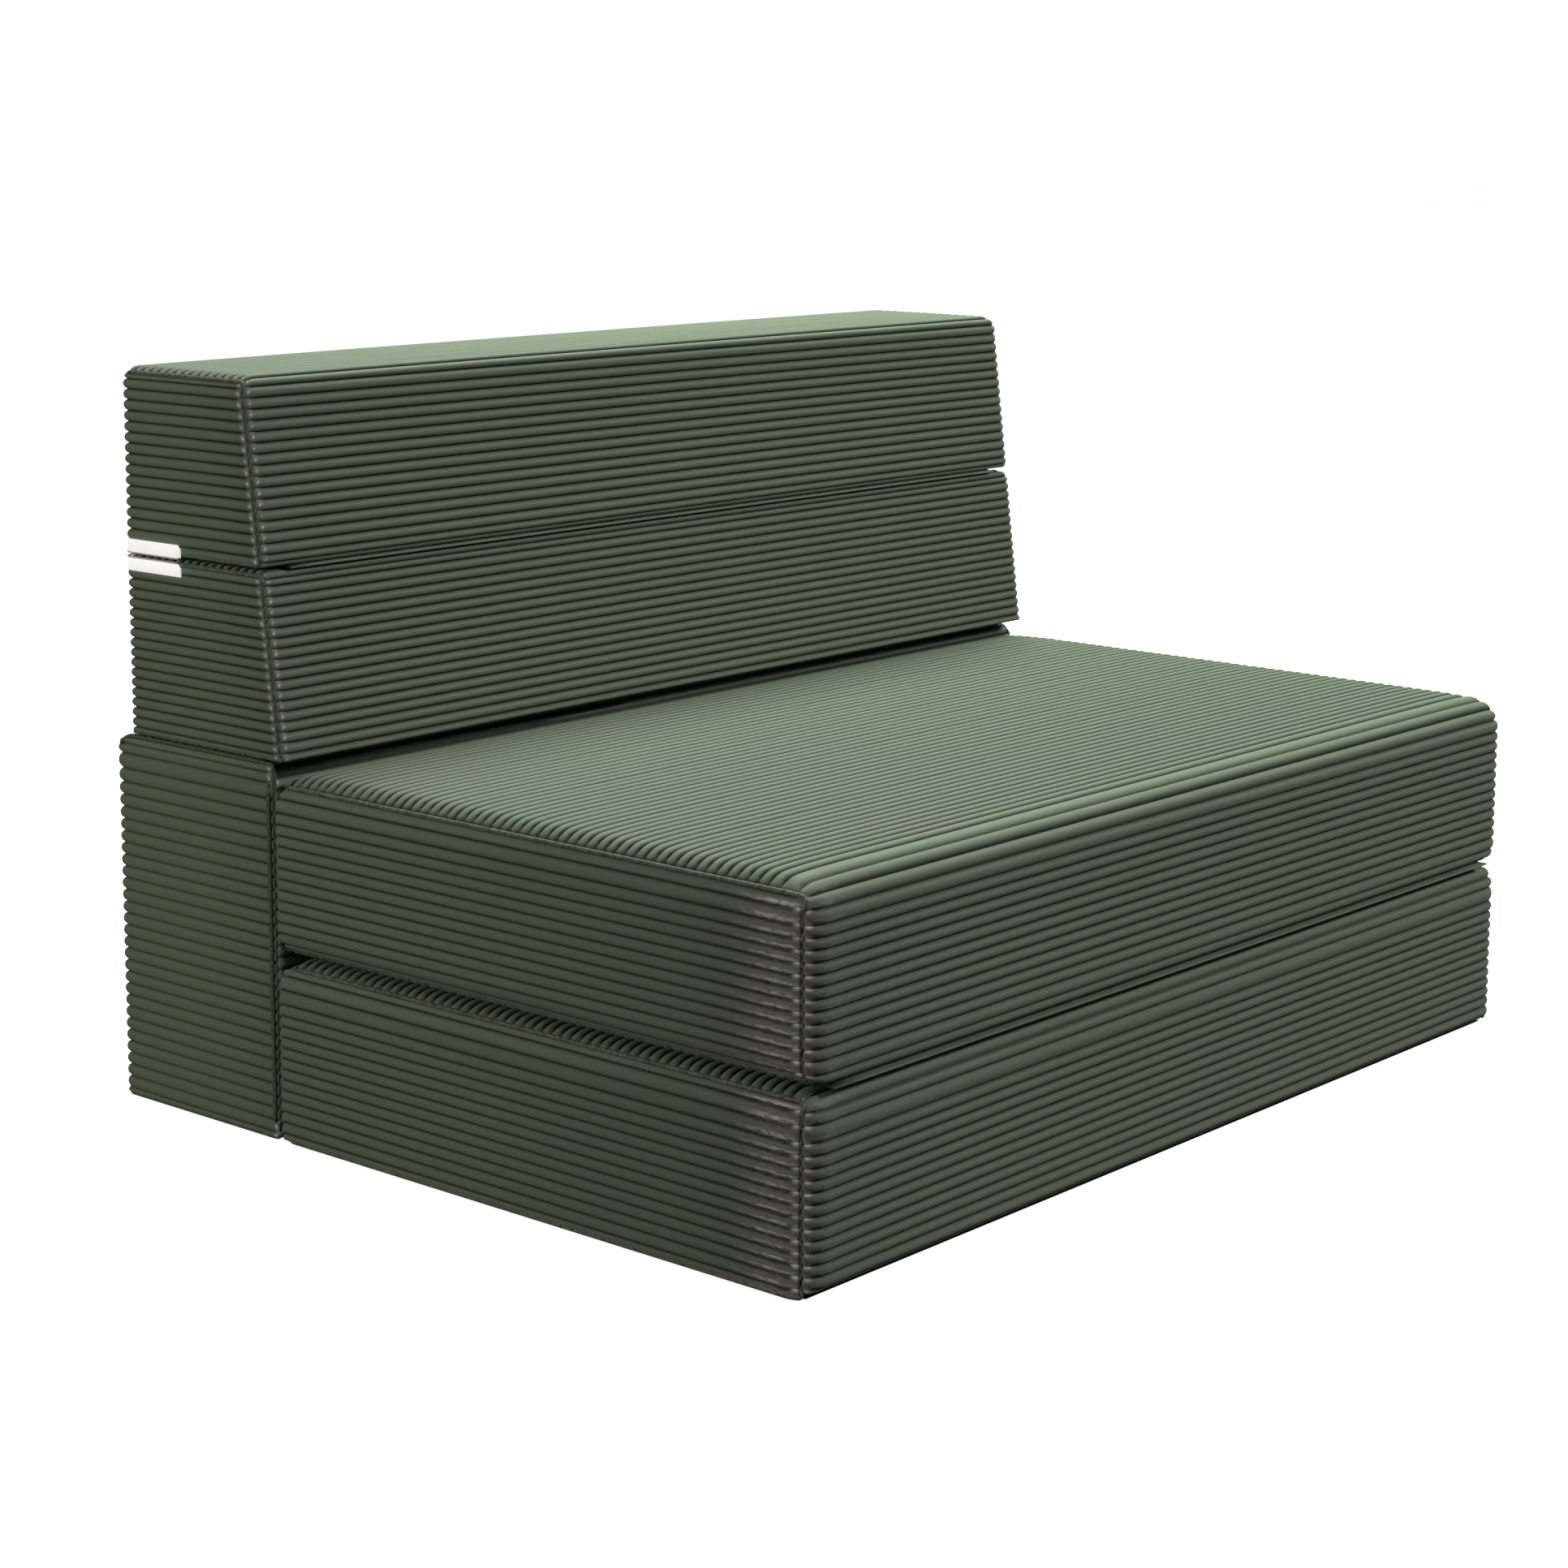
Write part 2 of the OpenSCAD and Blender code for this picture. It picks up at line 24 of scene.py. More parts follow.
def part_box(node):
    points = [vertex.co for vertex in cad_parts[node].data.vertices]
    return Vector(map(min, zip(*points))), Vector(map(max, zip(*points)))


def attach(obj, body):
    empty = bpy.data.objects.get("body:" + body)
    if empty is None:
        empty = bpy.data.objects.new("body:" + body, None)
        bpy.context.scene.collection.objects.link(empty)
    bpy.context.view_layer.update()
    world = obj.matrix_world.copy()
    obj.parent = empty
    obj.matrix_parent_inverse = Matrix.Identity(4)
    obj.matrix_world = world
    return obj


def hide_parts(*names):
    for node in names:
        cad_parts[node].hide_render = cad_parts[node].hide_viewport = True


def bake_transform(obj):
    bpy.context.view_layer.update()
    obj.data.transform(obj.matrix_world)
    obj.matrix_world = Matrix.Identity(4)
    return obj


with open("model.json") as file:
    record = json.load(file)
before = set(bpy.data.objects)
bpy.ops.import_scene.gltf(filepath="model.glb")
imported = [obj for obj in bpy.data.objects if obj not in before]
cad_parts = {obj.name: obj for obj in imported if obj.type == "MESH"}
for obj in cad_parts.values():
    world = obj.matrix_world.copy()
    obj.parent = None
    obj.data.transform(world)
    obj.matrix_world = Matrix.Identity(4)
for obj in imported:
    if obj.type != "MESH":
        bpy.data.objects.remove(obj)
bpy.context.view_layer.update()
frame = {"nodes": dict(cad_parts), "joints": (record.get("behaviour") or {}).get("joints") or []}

MM = 0.001
nodes = frame["nodes"]

# %% [markdown]
# ## Camera
#
# The view is a three-quarter one from the front left, a little above the seat. The camera was solved
# from the straight edges of the blocks, so its place, turn and focal length are real values. The
# picture was cropped unevenly, which the small shift stands for.

# %% Set up the camera
CAMERA_PLACE = Vector((-2.2196, -1.8520, 0.8573))
CAMERA_YAW = 40.75
CAMERA_PITCH = 9.46
CAMERA_ROLL = 0.24
SENSOR = 36
FOCAL_LENGTH = 76.61
SHIFT = (-0.0031, -0.0902)


def add_object(name, data):
    """A new object in the scene."""
    made = bpy.data.objects.new(name, data)
    bpy.context.scene.collection.objects.link(made)
    return made


def aim(thing, place, ahead, roll=0):
    """Put a camera or a light in its place and turn it along a direction, with a roll in degrees."""
    thing.location = place
    thing.rotation_mode = "QUATERNION"
    thing.rotation_quaternion = ahead.to_track_quat("-Z", "Y") @ Quaternion((0, 0, 1), math.radians(roll))


def set_up_camera():
    """A camera that looks along its yaw and pitch, in degrees."""
    data = bpy.data.cameras.new("camera")
    data.sensor_width = SENSOR
    data.lens = FOCAL_LENGTH
    data.shift_x, data.shift_y = SHIFT
    camera = add_object("camera", data)
    yaw, pitch = math.radians(CAMERA_YAW), math.radians(CAMERA_PITCH)
    ahead = Vector((math.cos(yaw) * math.cos(pitch), math.sin(yaw) * math.cos(pitch), -math.sin(pitch)))
    aim(camera, CAMERA_PLACE, ahead, CAMERA_ROLL)
    bpy.context.scene.camera = camera
    return camera


camera = set_up_camera()
print("camera at", tuple(round(c, 3) for c in camera.location))

# %% [markdown]
# ## Blocks
#
# Each block is known by its box in the construction and by how round its edges are. Its ends are
# rounded too: the wrap rolls over towards the end, meets the end panel at a seam, and the panel carries
# the curve on. How wide that roll is, and how far in the seam lies, differs between the front, the
# rear, the top and the foot. The end panel is carried round the rear corner, so its rear seam is almost
# on the rear face. The lists of ribs give how many there are of each width, from the foot of the front
# upwards.

# %% Describe the five blocks
BACK_OVERHANG = 11 * MM
BACK_LEAN = 39.5 * MM
CORNER_BLEND = 1.6
FLOOR_GAP = 2 * MM


class Block:
    """One foam block in its cover, in metres. What is handed in is in millimetres.

    edges: radii of the low edges, the high front edge and the high rear edge, and the rear seam's turn.
    end: the end roll's radii and the seam's insets, each at the front, rear, top and foot.
    crowns: the construction's crown, the cloth's own and how squarely that one fills the top.
    pull_in: how far the quilting draws in the middles of the front and the ends.
    rub: how much painted highlight the front seams get, how much painted shade and sheen the
    fronts, ends and creases near them get, and how much the ribs swell there."""

    def __init__(self, name, body, edges, end, crowns, pull_in, rub, wrap_ribs, end_ribs):
        low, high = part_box(name + "_cover")
        flat_crown, crown, self.crown_power = crowns
        self.name = name
        self.body = body
        self.low = low.z
        self.high = high.z - flat_crown * MM
        self.rear = high.y
        self.front_low = low.y
        self.front_high = low.y
        self.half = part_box(name + "_end_right")[1].x
        self.low_edge, self.high_edge, self.rear_edge, self.rear_turn = (edge * MM for edge in edges)
        self.rolls, self.insets = ([side * MM for side in sides] for sides in end)
        self.crown = crown * MM
        self.pull_in = pull_in * MM
        self.rub = rub
        self.rear_block = float(rub < 1)
        self.wrap_ribs = wrap_ribs
        self.end_ribs = end_ribs
        self.on_floor = low.z < FLOOR_GAP

    def front_at(self, z):
        return self.front_low + (self.front_high - self.front_low) * (z - self.low) / (self.high - self.low)

    def recess(self, y, z):
        """How far the end's face lies inside the block's widest plane, at this depth and height."""
        insets = (y - self.front_at(z), self.rear - y, self.high - z, z - self.low)
        total = 0
        for inset, roll in zip(insets, self.rolls):
            short = np.clip(roll - inset, 0, roll)
            total = total + (roll - np.sqrt(roll ** 2 - short ** 2)) ** CORNER_BLEND
        return total ** (1 / CORNER_BLEND)


SEAT_WRAP = [(1, 5.5), (1, 11.1), (1, 10.6), (11, 9.0), (1, 12.6), (2, 11.4), (1, 17), (1, 11.3)]
SEAT_END = [(1, 11.2), (1, 10.1), (10, 9.0), (1, 9.6), (1, 12)]
BASE_WRAP = [(1, 13.1), (1, 10.6), (10, 9.0), (1, 9.5), (1, 13.4), (1, 11), (1, 15), (1, 12.6)]
BASE_END = [(1, 8), (1, 9.6), (10, 9.0), (1, 9.6), (1, 12.3)]
REAR_WRAP = []
REAR_END = [(1, 6.5), (2, 10.4), (21, 10.25), (3, 10.7), (1, 11.8), (1, 13.2)]
LOWER_WRAP = [(1, 10.2), (1, 8.8), (15, 8.45), (1, 7), (1, 10.5)]
LOWER_END = [(1, 6.6), (15, 8.4), (1, 9.2)]
UPPER_WRAP = [(2, 8.3), (1, 8.7), (13, 9.0), (1, 9.5), (1, 9.6)]
UPPER_END = [(2, 9.2), (1, 9.0), (13, 8.95)]

SEAT_ROLL = (24, 1.5, 24, 24), (9.7, 0.3, 6.5, 6.5)
BASE_ROLL = (24, 1.5, 24, 3), (9.7, 0.3, 6.5, 1.5)
REAR_ROLL = (6, 8, 8, 3), (2.0, 0.3, 1.6, 1.5)
LOWER_ROLL = (10, 8, 11, 4), (4.2, 0.3, 4.0, 1.0)
UPPER_ROLL = (10, 8, 17, 4), (4.2, 0.3, 5.5, 1.0)
FLAT = (0, 0, 2)
PULL_IN = 1.2

blocks = {block.name: block for block in (
    Block("seat_base", "base", (12, 24, 20, 5), BASE_ROLL, FLAT, PULL_IN, 1, BASE_WRAP, BASE_END),
    Block("seat_top", "seat_top", (11, 26, 11, 5), SEAT_ROLL, (3, 6, 14), PULL_IN, 1, SEAT_WRAP, SEAT_END),
    Block("rear_base", "base", (10, 30, 20, 18), REAR_ROLL, FLAT, 0, 0.25, REAR_WRAP, REAR_END),
    Block("back_lower", "base", (5, 10, 10, 5), LOWER_ROLL, FLAT, PULL_IN, 0.25, LOWER_WRAP, LOWER_END),
    Block("back_upper", "back_upper", (10, 10, 10, 6), UPPER_ROLL, (2, 2, 2), PULL_IN, 0.25,
        UPPER_WRAP, UPPER_END),
)}


def lean_the_back():
    """The two back blocks share one leaning front plane, from over the seat to the rim of the top."""
    foot = blocks["back_lower"].low
    rise = blocks["back_upper"].high - foot
    start = blocks["seat_top"].rear - BACK_OVERHANG
    for name in ("back_lower", "back_upper"):
        block = blocks[name]
        block.front_low = start + BACK_LEAN * (block.low - foot) / rise
        block.front_high = start + BACK_LEAN * (block.high - foot) / rise


lean_the_back()
for block in blocks.values():
    print(block.name, "is", round(block.rear - block.front_low, 4), "m deep at its foot")

# %% [markdown]
# ## The section of a block
#
# A block's section is a rounded box seen from its end, with a front that may lean. The end seam runs
# inside it and turns its corners more tightly, most of all at the left end. Both lines are drawn
# together, point by point, so any length along the outline also has its place on the seam. Working
# along the true length keeps the ribs even round corners, as when real cloth is pulled over foam.

# %% Draw the section and its seam
LINE_STEP = 0.4 * MM
ARC_POINTS = 33
LEFT_SEAM_TURN = 5 * MM
RIGHT_SEAM_TURN = 22 * MM
BEND_POINTS = 9
TURN_MARGIN = 0.2 * MM
TINY = 1e-9


def spread_evenly(path, count):
    """The path's points again, but evenly spaced, after their lengths along it."""
    along = np.concatenate([[0], np.cumsum(np.hypot(*np.diff(path, axis=0).T[:2]))])
    even = np.linspace(0, along[-1], count)
    return even, np.column_stack([np.interp(even, along, column) for column in path.T])


def corner(radius, side, level, seam_turn):
    """A corner of the outline and of the seam in it, as distances from the two faces that meet there."""
    turn = np.linspace(0, math.pi / 2, ARC_POINTS)
    arc = radius * np.column_stack([1 - np.sin(turn), 1 - np.cos(turn)])
    turn = np.linspace(0, math.pi / 2, BEND_POINTS)
    tight = min(seam_turn, radius - max(side, level) - TURN_MARGIN)
    bend = np.column_stack([side + tight * (1 - np.sin(turn)), level + tight * (1 - np.cos(turn))])
    path = np.vstack([[radius, level], bend, [side, radius]])
    return np.hstack([arc, spread_evenly(path, ARC_POINTS)[1]])


def put_corner(block, distances, at_front, at_top):
    """The corner's points in depth and height, for the outline and for the seam."""
    places = []
    for side, level in (distances[:, :2].T, distances[:, 2:].T):
        z = block.high - level if at_top else block.low + level
        y = block.front_at(z) + side if at_front else block.rear - side
        places += [y, z]
    return np.column_stack(places)


def outward(line):
    """The outward normals of a line that ends where it starts."""
    ring = np.vstack([line[-2], line, line[1]])
    tangent = ring[2:] - ring[:-2]
    tangent /= np.maximum(np.hypot(*tangent.T), TINY)[:, None]
    return np.column_stack([-tangent[:, 1], tangent[:, 0]])


class Section:
    """The outline of a block with its end seam, in depth and height, for any length along the outline."""

    def __init__(self, block, seam_turn):
        front, rear, top, foot = block.insets
        ring = np.vstack([
            put_corner(block, corner(block.low_edge, front, foot, seam_turn), True, False),
            put_corner(block, corner(block.high_edge, front, top, seam_turn)[::-1], True, True),
            put_corner(block, corner(block.rear_edge, rear, top, block.rear_turn), False, True),
            put_corner(block, corner(block.low_edge, rear, foot, block.rear_turn)[::-1], False, False)])
        ring = np.vstack([ring, ring[:1]])
        round_length = np.hypot(*np.diff(ring[:, :2], axis=0).T).sum()
        self.along, ring = spread_evenly(ring, int(round_length / LINE_STEP))
        self.length = self.along[-1]
        self.line, self.seam = ring[:, :2], ring[:, 2:]
        self.normal, self.seam_normal = outward(self.line), outward(self.seam)
        ny, nz = self.normal.T
        weights = np.column_stack([np.maximum(facing, 0) for facing in (-ny, ny, nz, -nz)]) ** 2
        self.roll = weights @ block.rolls
        turns = [math.acos(1 - inset / roll) for inset, roll in zip(block.insets, block.rolls)]
        self.turn = weights @ turns
        self.seam_x = block.half - block.recess(*self.seam.T)

    def at(self, along, *names):
        """The named values at these lengths along the outline."""
        s = np.mod(along, self.length)
        found = []
        for name in names:
            values = getattr(self, name)
            columns = [np.interp(s, self.along, column) for column in np.atleast_2d(values.T)]
            found.append(np.column_stack(columns) if values.ndim > 1 else columns[0])
        return found


sections = {name: {-1: Section(block, LEFT_SEAM_TURN), 1: Section(block, RIGHT_SEAM_TURN)}
    for name, block in blocks.items()}
for name, sides in sections.items():
    print(name, "is", round(sides[1].length, 3), "m round")

# %% [markdown]
# ## Ribs
#
# A quilted rib is a tube: seen from its end it is half an ellipse with a crease on each side. A few
# rows of points across each rib, close together at the creases and wide apart on the crown, draw that
# with few faces. Where a rib ends at a seam it is pinched shut over the last millimetres. The layers of
# cloth under the seam fill the creases there a little, and the seam draws everything in.

# %% Lay out the ribs
RIB_STEPS = (0, 0.05, 0.14, 0.3, 0.5, 0.7, 0.86, 0.95)
PLAIN_RIB = 10 * MM
TIP_LENGTH = 2.4 * MM
SEAM_LIFT = 0.6
LIFT_REACH = 7 * MM
SEAM_TUCK = 0.5 * MM
SEAM_TUCK_REACH = 2 * MM


def rib_lines(runs, length, start=0.0):
    """Creases along a length: the counted widths first, then plain ribs that fill what is left."""
    lines = [start]
    for count, width in runs:
        for _ in range(count):
            lines.append(lines[-1] + width * MM)
    lines = [line for line in lines if line < length - PLAIN_RIB / 2]
    left = length - lines[-1]
    fill = max(1, round(left / PLAIN_RIB))
    return lines + [lines[-1] + left * (k + 1) / fill for k in range(fill)]


def rib_rows(lines):
    """Rows of points across the ribs: the place along, the share of the way across, the rib's number."""
    rows = []
    for number, (near, far) in enumerate(zip(lines, lines[1:])):
        for share in RIB_STEPS:
            rows.append((near + share * (far - near), share, number))
    rows.append((lines[-1], 0, len(lines) - 1))
    return rows


def clamped(values):
    return np.clip(values, 0, 1)


def bell(offset, width):
    """1 in the middle and next to nothing from two widths away."""
    return np.exp(-(offset / width) ** 2)


def rib_height(across, to_seam, flatness=2):
    """Height above the crease, from 0 to 1, of a tube that is pinched shut at the seam. A tube that is
    pressed flat has a flatness above 2."""
    side = abs(2 * across - 1) ** flatness
    tip = clamped(1 - to_seam / TIP_LENGTH) ** 2
    return np.sqrt(clamped(1 - side - tip))


def lifted(height, to_seam, share):
    """The height with its creases filled near the seam."""
    return height + (1 - height) * SEAM_LIFT * share * bell(to_seam, LIFT_REACH)


def tuck(to_seam):
    """How deep the seam draws the cloth in."""
    return SEAM_TUCK * np.exp(-to_seam / SEAM_TUCK_REACH)


print("ribs round the upper seat:", len(rib_lines(SEAT_WRAP, sections["seat_top"][1].length)) - 1)

# %% [markdown]
# ## Marks on the pile
#
# Every point of the corduroy carries four values for its finish to follow, in the order of PILE_LAYERS.
# The first, "crest", says where the point lies from the dark crease to the crown, with the painted shade
# of the creases in it. The second is a painted highlight beside the front seams, most on the lower side of
# each rib. The third is a painted highlight at the ends of the creases by the seams, and on the three rear
# blocks on the ribs' tips as well. The fourth is painted shade and sheen, a darker and greyer tone on the
# fronts and ends.
#
# Real ribs aren't quite alike, so each sinks a little here and there, and its painted glints are stronger
# or weaker than its neighbour's.

# %% Mark the ribs
PILE_LAYERS = ("crest", "rub", "nick", "fade")
HIGHLIGHT_PLACE = 20 * MM
HIGHLIGHT_REACH = 24 * MM
HIGHLIGHT_SIDE = 0.22
HIGHLIGHT_WIDTH = 0.12
HIGHLIGHT_LEAST = 0.06
GLINT_PLACE = 4.2 * MM
GLINT_REACH = 2.8 * MM
GLINT_WIDTH = 0.15
TIP_GLINT_PLACE = 4.8 * MM
TIP_GLINT_REACH = 1.2 * MM
TIP_GLINT_WIDTH = 0.16
TIPPED_CREASE_GLINT = 0.25
GLINT_MEAN = 0.8
GLINT_SPREAD = 0.5
GLINT_DRIFT = 2.3
SINK_DEPTH = 0.35 * MM
SINK_PITCH = 5
SINK_DRIFT = 0.9


def smooth_noise(x, y, z, seed):
    """A gentle unevenness between -1 and 1 that is the same on every run."""
    return noise.noise(Vector((x, y, z)) + Vector((seed, -seed, 2 * seed)))


def highlight_mask(across, to_seam, share):
    """How strong the painted highlight is: beside the front seams, most on the lower side of each rib."""
    lower = HIGHLIGHT_LEAST + (1 - HIGHLIGHT_LEAST) * bell(across - HIGHLIGHT_SIDE, HIGHLIGHT_WIDTH)
    return share * lower * bell(to_seam - HIGHLIGHT_PLACE, HIGHLIGHT_REACH)


def nick(across, to_seam, share, tip_glints):
    """How strong the painted glints are by the seam. The last argument is 1 where rib tips get glints too,
    else 0.
    """
    crease = bell(np.minimum(across, 1 - across), GLINT_WIDTH) * bell(to_seam - GLINT_PLACE, GLINT_REACH)
    tip_glint = bell(across - 0.5, TIP_GLINT_WIDTH) * bell(to_seam - TIP_GLINT_PLACE, TIP_GLINT_REACH)
    return share * np.maximum(crease * (1 - tip_glints * (1 - TIPPED_CREASE_GLINT)), tip_glints * tip_glint)


def glint_strength(number, layer, seed):
    """How strong a rib's painted glints are."""
    return GLINT_MEAN + GLINT_SPREAD * smooth_noise(0, number * GLINT_DRIFT, layer, seed)


def sinking(places, numbers, layer, seed):
    """How far the ribs with these numbers sink at these places along them."""
    drift = [smooth_noise(v * SINK_PITCH, n * SINK_DRIFT, layer, seed) for v, n in zip(places, numbers)]
    return np.minimum(np.array(drift) * SINK_DEPTH, 0)


def flat_cloth(columns, rows):
    """A flat grid with the pile's layers: its bmesh, the layers and its points, row by row."""
    bm = bmesh.new()
    layers = [bm.verts.layers.float.new(name) for name in PILE_LAYERS]
    bmesh.ops.create_grid(bm, x_segments=columns - 1, y_segments=rows - 1, size=1)
    return bm, layers, bm.verts[:]


def put_points(verts, places, layers=(), marks=()):
    """Move points to their places and give each its marks."""
    for vert, place in zip(verts, places):
        vert.co = place
    for layer, values in zip(layers, marks):
        for vert, value in zip(verts, values):
            vert[layer] = value


print("marks on the pile:", PILE_LAYERS)

# %% [markdown]
# ## From a mesh to a piece
#
# Everything soft is drawn as a mesh of its own. A finished mesh becomes a piece that moves with one of
# the construction's bodies and stands for the solids it replaces.

# %% Make a piece
def as_object(bm, name, finish):
    """Turn a bmesh into an object with one finish."""
    mesh = bpy.data.meshes.new(name)
    bm.to_mesh(mesh)
    bm.free()
    mesh.materials.append(finish)
    return add_object(name, mesh)


def store(bm, name, body, finish, slot, *replaced):
    """Turn a bmesh into a piece that rides on its body and stands for its construction nodes."""
    piece = as_object(bm, name, finish)
    piece.data.shade_smooth()
    if body:
        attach(piece, body)
    if replaced:
        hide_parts(*replaced)
    return piece


def only(kind, geometry):
    """The verts, edges or faces among the things that an operator made."""
    return [part for part in geometry if isinstance(part, kind)]


def open_edges(bm):
    return [edge for edge in bm.edges if edge.is_boundary]


# %% [markdown]
# ## Wraps
#
# The wrap is the part of a cover that goes over the front, top, rear and underside. It is drawn as it
# is cut: one flat grid, with a row for each step across a rib and a column for each distance from the
# end seams. The columns are close together at the seams, where the cloth rolls over, and far apart in
# the middle. The grid is rolled round the block and its edges are merged, as the real one is sewn.
# Three columns more carry the cloth back along the inside, so that the piece is closed and has a real
# thickness.
#
# The creases on top get painted shade beyond what their depth gives, for the light from above; those in
# front get less of it, for the front light, and so do those beside wide ribs. At the right end the creases
# are less filled, and the fronts get weaker painted highlights and weaker painted shade and sheen.

# %% Make a wrap
SEAM_DISTANCES = [
    d * MM for d in (0, 0.25, 0.7, 1.3, 2, 3, 4.5, 6.5, 9, 12, 15, 18.5, 22, 27, 34, 46, 65, 95)]
WIDEST_STEP = 55 * MM
RIB_HEIGHT = 4.6 * MM
REAR_TIP = 2.5
INNER_DEPTH = 4.9 * MM
SEWN = 0.01 * MM
UNDERSIDE = (0.5, 0.9)
FLOOR_RIB_SHARE = 0.12
SHADE_SHEEN_REACH = 60 * MM
HIGHLIGHT_SHARE = 0.3
RIGHT_FRONT_SHARE = 0.15
RIGHT_LIFT = 0.3
TOP_SHADE = 1.0
TOP_GLINT_LOSS = 0.75
FRONT_LIGHT = 0.22
WRAP_SEED = 3.7


def wrap_distances(lengths):
    """Distances from the end seam for each column of half a wrap, for rows with these half lengths."""
    near = [np.full(len(lengths), d) for d in SEAM_DISTANCES]
    rest = lengths - SEAM_DISTANCES[-1]
    steps = math.ceil(rest.max() / WIDEST_STEP)
    return near + [SEAM_DISTANCES[-1] + rest * (k + 1) / steps for k in range(steps)]


def wrap_columns(block, section, along, side):
    """The columns from a seam to the middle. Each has, for every row, its x, its share of the way to the
    seam, its tilt, its distance to the seam, and the seam's place and normal."""
    names = ("roll", "turn", "seam_x", "seam", "seam_normal")
    roll, seam_turn, seam_x, seam, seam_normal = section.at(along, *names)
    flat_x = block.half - roll
    columns = []
    for d in wrap_distances(roll * seam_turn + flat_x):
        turn = np.maximum(seam_turn - d / roll, 0)
        flat = np.maximum(d - roll * seam_turn, 0)
        x = flat_x - flat + (seam_x - flat_x) * np.sin(turn) / np.sin(seam_turn)
        share = (1 - np.cos(turn)) / (1 - np.cos(seam_turn))
        columns.append((side * x, share, side * turn, d, seam, seam_normal))
    return columns


def make_wrap(block, sides):
    """The wrap of a block as a bmesh."""
    section = sides[1]
    lines = rib_lines(block.wrap_ribs, section.length)
    along, across, number = np.array(rib_rows(lines)).T
    number = number.astype(int) % (len(lines) - 1)
    slim = np.minimum(PLAIN_RIB / np.diff(lines)[number], 1) ** 2
    point, normal = section.at(along, "line", "normal")
    upward, frontward, rearward = clamped(normal[:, 1]), clamped(-normal[:, 0]), clamped(normal[:, 0])
    under = clamped((-normal[:, 1] - UNDERSIDE[0]) / (UNDERSIDE[1] - UNDERSIDE[0])) * block.on_floor
    swell = np.sin(math.pi * clamped((point[:, 1] - block.low) / (block.high - block.low))) * frontward
    middle_y = (block.front_high + block.rear) / 2
    half_depth = (block.rear - block.front_high) / 2
    depth_share = np.clip((point[:, 0] - middle_y) / half_depth, -1, 1)
    full = 1 - abs(depth_share) ** block.crown_power
    seed = WRAP_SEED * len(block.name) + 10 * block.high
    glint_strengths = np.array([glint_strength(n, 7, seed) for n in number])
    shown = glint_strengths * clamped(1 - TOP_GLINT_LOSS * upward - rearward)
    columns = wrap_columns(block, sides[-1], along, -1) + wrap_columns(block, sides[1], along, 1)[-2::-1]
    column_count = len(columns)
    row_length = column_count + 3
    bm, layers, verts = flat_cloth(row_length, len(along))
    for c, (x, share, turn, to_seam, seam, seam_normal) in enumerate(columns):
        right = c > column_count / 2
        lift = (1 - upward) * (RIGHT_LIFT if right else 1)
        height = lifted(rib_height(across, to_seam / (1 + REAR_TIP * rearward)), to_seam, lift)
        height = height * (1 - under * (1 - FLOOR_RIB_SHARE))
        level = (height - 1) * RIB_HEIGHT - tuck(to_seam) + sinking(x, number, 0, seed) * height
        facing = normal + (seam_normal - normal) * share[:, None]
        facing /= np.hypot(*facing.T)[:, None]
        place = point + (seam - point) * share[:, None] + facing * (level * np.cos(turn))[:, None]
        to_middle = np.minimum(abs(x) / block.half, 1)
        place[:, 1] += block.crown * (1 - to_middle ** (2 * block.crown_power)) * full * upward
        place[:, 0] += block.pull_in * (1 - to_middle ** 2) * swell
        forward = block.rub * frontward * (RIGHT_FRONT_SHARE if right else 1)
        # Painted crease shade: darker on top, for the light from above, and paler in front and beside wide
        # ribs.
        crest = 1 - (1 - height) * (1 + TOP_SHADE * upward - FRONT_LIGHT * frontward) * slim
        rub = highlight_mask(across, to_seam, forward * HIGHLIGHT_SHARE)
        glints = nick(across, to_seam, shown, block.rear_block)
        # Painted shade and sheen on the fronts, near the end seams.
        fade = forward * np.exp(-to_seam / SHADE_SHEEN_REACH)
        places = np.column_stack([x + level * np.sin(turn), place])
        put_points(verts[c::row_length], places, layers, (crest, rub, glints, fade))
    for c, side in ((column_count, 1), (column_count + 1, -1)):
        seam_x, seam, seam_normal = sides[side].at(along, "seam_x", "seam", "seam_normal")
        inner = np.column_stack([side * (seam_x - INNER_DEPTH), seam - seam_normal * INNER_DEPTH])
        put_points(verts[c::row_length], inner)
    put_points(verts[column_count + 2::row_length], [vert.co for vert in verts[::row_length]])
    bmesh.ops.remove_doubles(bm, verts=bm.verts, dist=SEWN)
    bmesh.ops.recalc_face_normals(bm, faces=bm.faces)
    if bm.calc_volume(signed=True) < 0:
        bmesh.ops.reverse_faces(bm, faces=bm.faces)
    return bm


# %% [markdown]
# ## End panels
#
# An end panel is cut to the outline of the block's end and sewn into the wrap. Its ribs run from front
# to rear. It is drawn as a grid whose rows are the steps across its ribs and whose columns run from
# seam to seam, then its border is drawn in and closed at the back.
#
# The ribs of a panel are pressed nearly flat. Near the front seam they swell, and the creases between them
# get more painted shade, most of all on the seat blocks; the tall block's creases get less painted shade.
# On the three rear blocks they end in round lobes.

